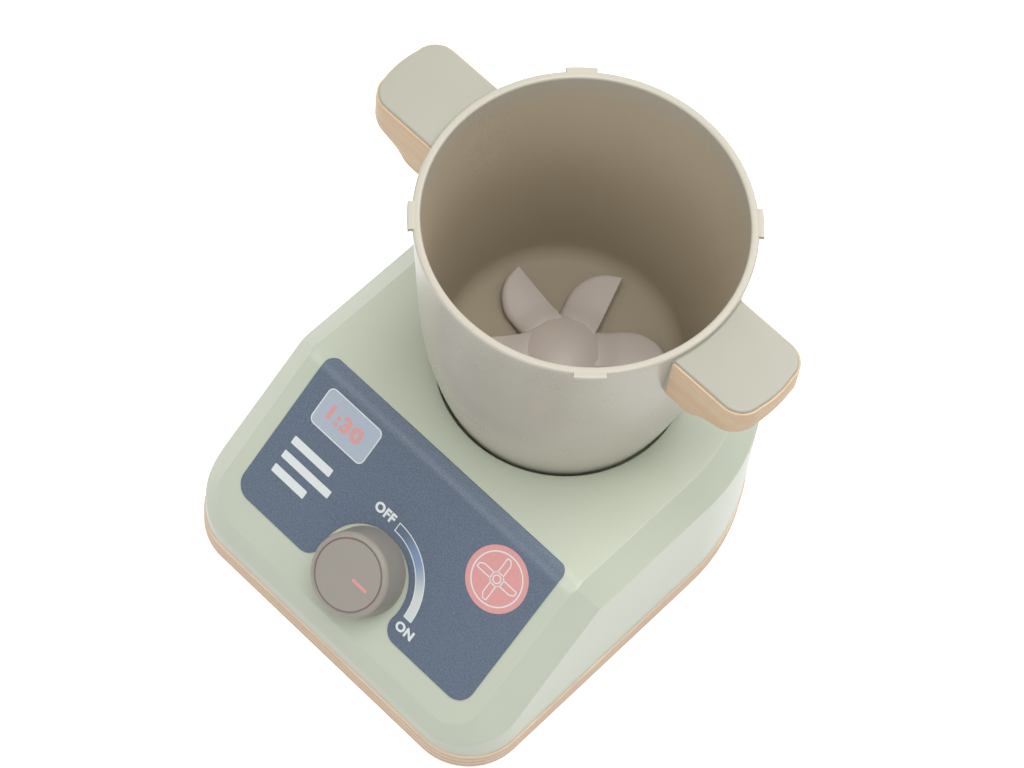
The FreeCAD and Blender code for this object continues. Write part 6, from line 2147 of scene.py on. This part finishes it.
    def build(self) -> None:
        """Make the hub and the wings."""
        place = self.layout.on_pot_axis() @ Matrix.Translation((0, 0, self.low))
        publish(self._hub().placed(place), "rotor_hub", Finishes.ROTOR, "rotor", ["blade_rotor"],
                sharp=50.0)
        turn = Matrix.Rotation(math.radians(self.first_turn), 4, "Z")
        wings = bpy.data.objects.new(
            "rotor_wings", self._wing().placed(place @ turn).to_mesh("rotor_wings", 60.0))
        PolarPattern(self.count, 0.0, self.layout.pot_axis).spread(wings, Finishes.ROTOR)
        dress(wings, Finishes.ROTOR, "rotor", ["blade_rotor"])


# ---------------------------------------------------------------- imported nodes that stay

STAYING = {
    Finishes.PLYWOOD: ("base_plate",),
    Finishes.FOOT: ("rubber_feet",),
    Finishes.SCREW: ("housing_screws", "battery_door_screws", "battery_box_screws",
                     "gear_case_screws", "motor_screws", "handle_screws"),
    Finishes.SWITCH: ("rotary_switch",),
    Finishes.BRIGHT: ("switch_nut", "switch_shaft", "battery_contacts", "compound_pin",
                      "motor_shaft", "drive_shaft", "drive_clip", "rotor_spindle"),
    Finishes.INNER: ("battery_box", "battery_door", "gear_case", "gear_case_lid"),
    Finishes.CELL: ("battery_cells",),
    Finishes.MOTOR: ("motor",),
    Finishes.BRASS: ("motor_pinion", "drive_bush", "spindle_bush"),
    Finishes.GEAR: ("compound_gear", "output_gear", "drive_coupling", "pot_coupling"),
    Finishes.LEAD_RED: ("lead_battery_switch",),
    Finishes.LEAD_WHITE: ("lead_switch_motor",),
    Finishes.LEAD_BLACK: ("lead_motor_battery",),
}


def dress_staying_nodes() -> None:
    """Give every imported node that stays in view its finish."""
    for finish, names in STAYING.items():
        for name in names:
            for slot in frame["nodes"][name].material_slots:
                slot.material = finish.material
            LOG.info("%s: packed node, finish %s", name, finish.value.name)


# ---------------------------------------------------------------- stage

LAMPS = (  # name, place and disc size in metres, power in watts
    ("back_lamp", (0.1, 1.5, 1.8), 1.5, 16.0),
    ("top_lamp", (0.25, -0.1, 2.4), 1.5, 27.0),
    ("crown_lamp", (1.07, 0.77, 1.84), 0.5, 3.0),
    ("left_lamp", (-1.1, -1.1, 1.6), 1.5, 1.0),
    ("ridge_lamp", (-0.538, -1.325, 1.615), 0.8, 5.0),
)


@dataclass(frozen=True)
class Studio:
    """White floor, soft lamps, even surround and the camera; the floor and lamps are in metres."""

    focal_pixels: float = 3496.53
    frame_width: float = 1024.0
    frame_height: float = 768.0
    centre_x: float = 451.29
    centre_y: float = 349.12
    camera_place: tuple = (346.38, -473.28, 1220.28)
    right: tuple = (0.7097, 0.7025, 0.0538)
    up: tuple = (-0.641, 0.6121, 0.4631)
    floor_size: float = 6.0
    floor_grey: float = 0.68
    floor_glow: float = 0.72
    surround: float = 0.48
    lamp_target: tuple = (0, 0, 0.08)

    def camera(self) -> None:
        """Add the camera and make it the scene's."""
        data = bpy.data.cameras.new("studio_camera")
        data.sensor_width = 36.0
        data.lens = self.focal_pixels * data.sensor_width / self.frame_width
        data.shift_x = (self.frame_width / 2 - self.centre_x) / self.frame_width
        data.shift_y = (self.centre_y - self.frame_height / 2) / self.frame_width
        data.clip_start, data.clip_end = 0.05, 20.0
        camera = bpy.data.objects.new("studio_camera", data)
        right = Vector(self.right).normalized()
        back = right.cross(Vector(self.up)).normalized()
        up = back.cross(right)
        turn = Matrix((right, up, back)).transposed().to_4x4()
        camera.matrix_world = Matrix.Translation(Vector(self.camera_place) * MM) @ turn
        bpy.context.scene.collection.objects.link(camera)
        bpy.context.scene.camera = camera

    def floor(self) -> None:
        """Add the floor, white to the camera, with the object's shadow kept."""
        half = self.floor_size / 2
        mesh = bpy.data.meshes.new("studio_floor")
        mesh.from_pydata([(-half, -half, 0), (half, -half, 0), (half, half, 0), (-half, half, 0)],
                         [], [(0, 1, 2, 3)])
        floor = bpy.data.objects.new("studio_floor", mesh)
        bpy.context.scene.collection.objects.link(floor)
        graph = Graph("studio_white")
        rays = graph.node("ShaderNodeLightPath").outputs
        seen = (Field(graph, rays["Is Camera Ray"]) + Field(graph, rays["Is Glossy Ray"])
                + Field(graph, rays["Is Transmission Ray"])).at_most(1.0)
        glow = graph.mix(seen, BLACK, toned(WHITE, self.floor_glow))
        mesh.materials.append(graph.finish(
            base_color=toned(WHITE, self.floor_grey), roughness=0.9, emission_color=glow,
            emission_strength=1.0))

    def lamps(self) -> None:
        """Add the soft lamps, all aimed at the object."""
        for name, place, size, power in LAMPS:
            data = bpy.data.lights.new(name, "AREA")
            data.shape, data.size, data.energy = "DISK", size, power
            lamp = bpy.data.objects.new(name, data)
            lamp.location = place
            aim = Vector(place) - Vector(self.lamp_target)
            lamp.rotation_euler = aim.to_track_quat("Z", "Y").to_euler()
            bpy.context.scene.collection.objects.link(lamp)

    def world(self) -> None:
        """Add an even surround that is white to the camera."""
        world = bpy.data.worlds.new("studio_world")
        world.use_nodes = True
        tree = world.node_tree
        tree.nodes.clear()
        rays = add_node(tree, "ShaderNodeLightPath").outputs
        even, white = (
            add_node(tree, "ShaderNodeBackground", None, {"Color": WHITE, "Strength": strength})
            for strength in (self.surround, 1.0))
        either = add_node(tree, "ShaderNodeMixShader", None, {
            0: rays["Is Camera Ray"], 1: even.outputs[0], 2: white.outputs[0]})
        add_node(tree, "ShaderNodeOutputWorld", None, {"Surface": either.outputs[0]})
        bpy.context.scene.world = world

    def build(self) -> None:
        """Set the stage."""
        bpy.context.scene.view_settings.view_transform = "Standard"
        self.camera()
        self.floor()
        self.lamps()
        self.world()


def main() -> None:
    """Build every piece in order."""
    logging.basicConfig(level=logging.INFO, format="%(name)s: %(message)s")
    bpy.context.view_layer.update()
    layout = Layout.read()
    Studio().build()
    dress_staying_nodes()
    Housing(layout).build()
    ControlPanel(layout).build()
    Knob(layout).build()
    pot = Pot(layout)
    pot.build()
    for side, label in ((-1, "left"), (1, "right")):
        Grip(layout, pot, side, label).build()
    Rotor(layout, node_box("blade_rotor")[0][2]).build()


if __name__ == "__main__":
    main()
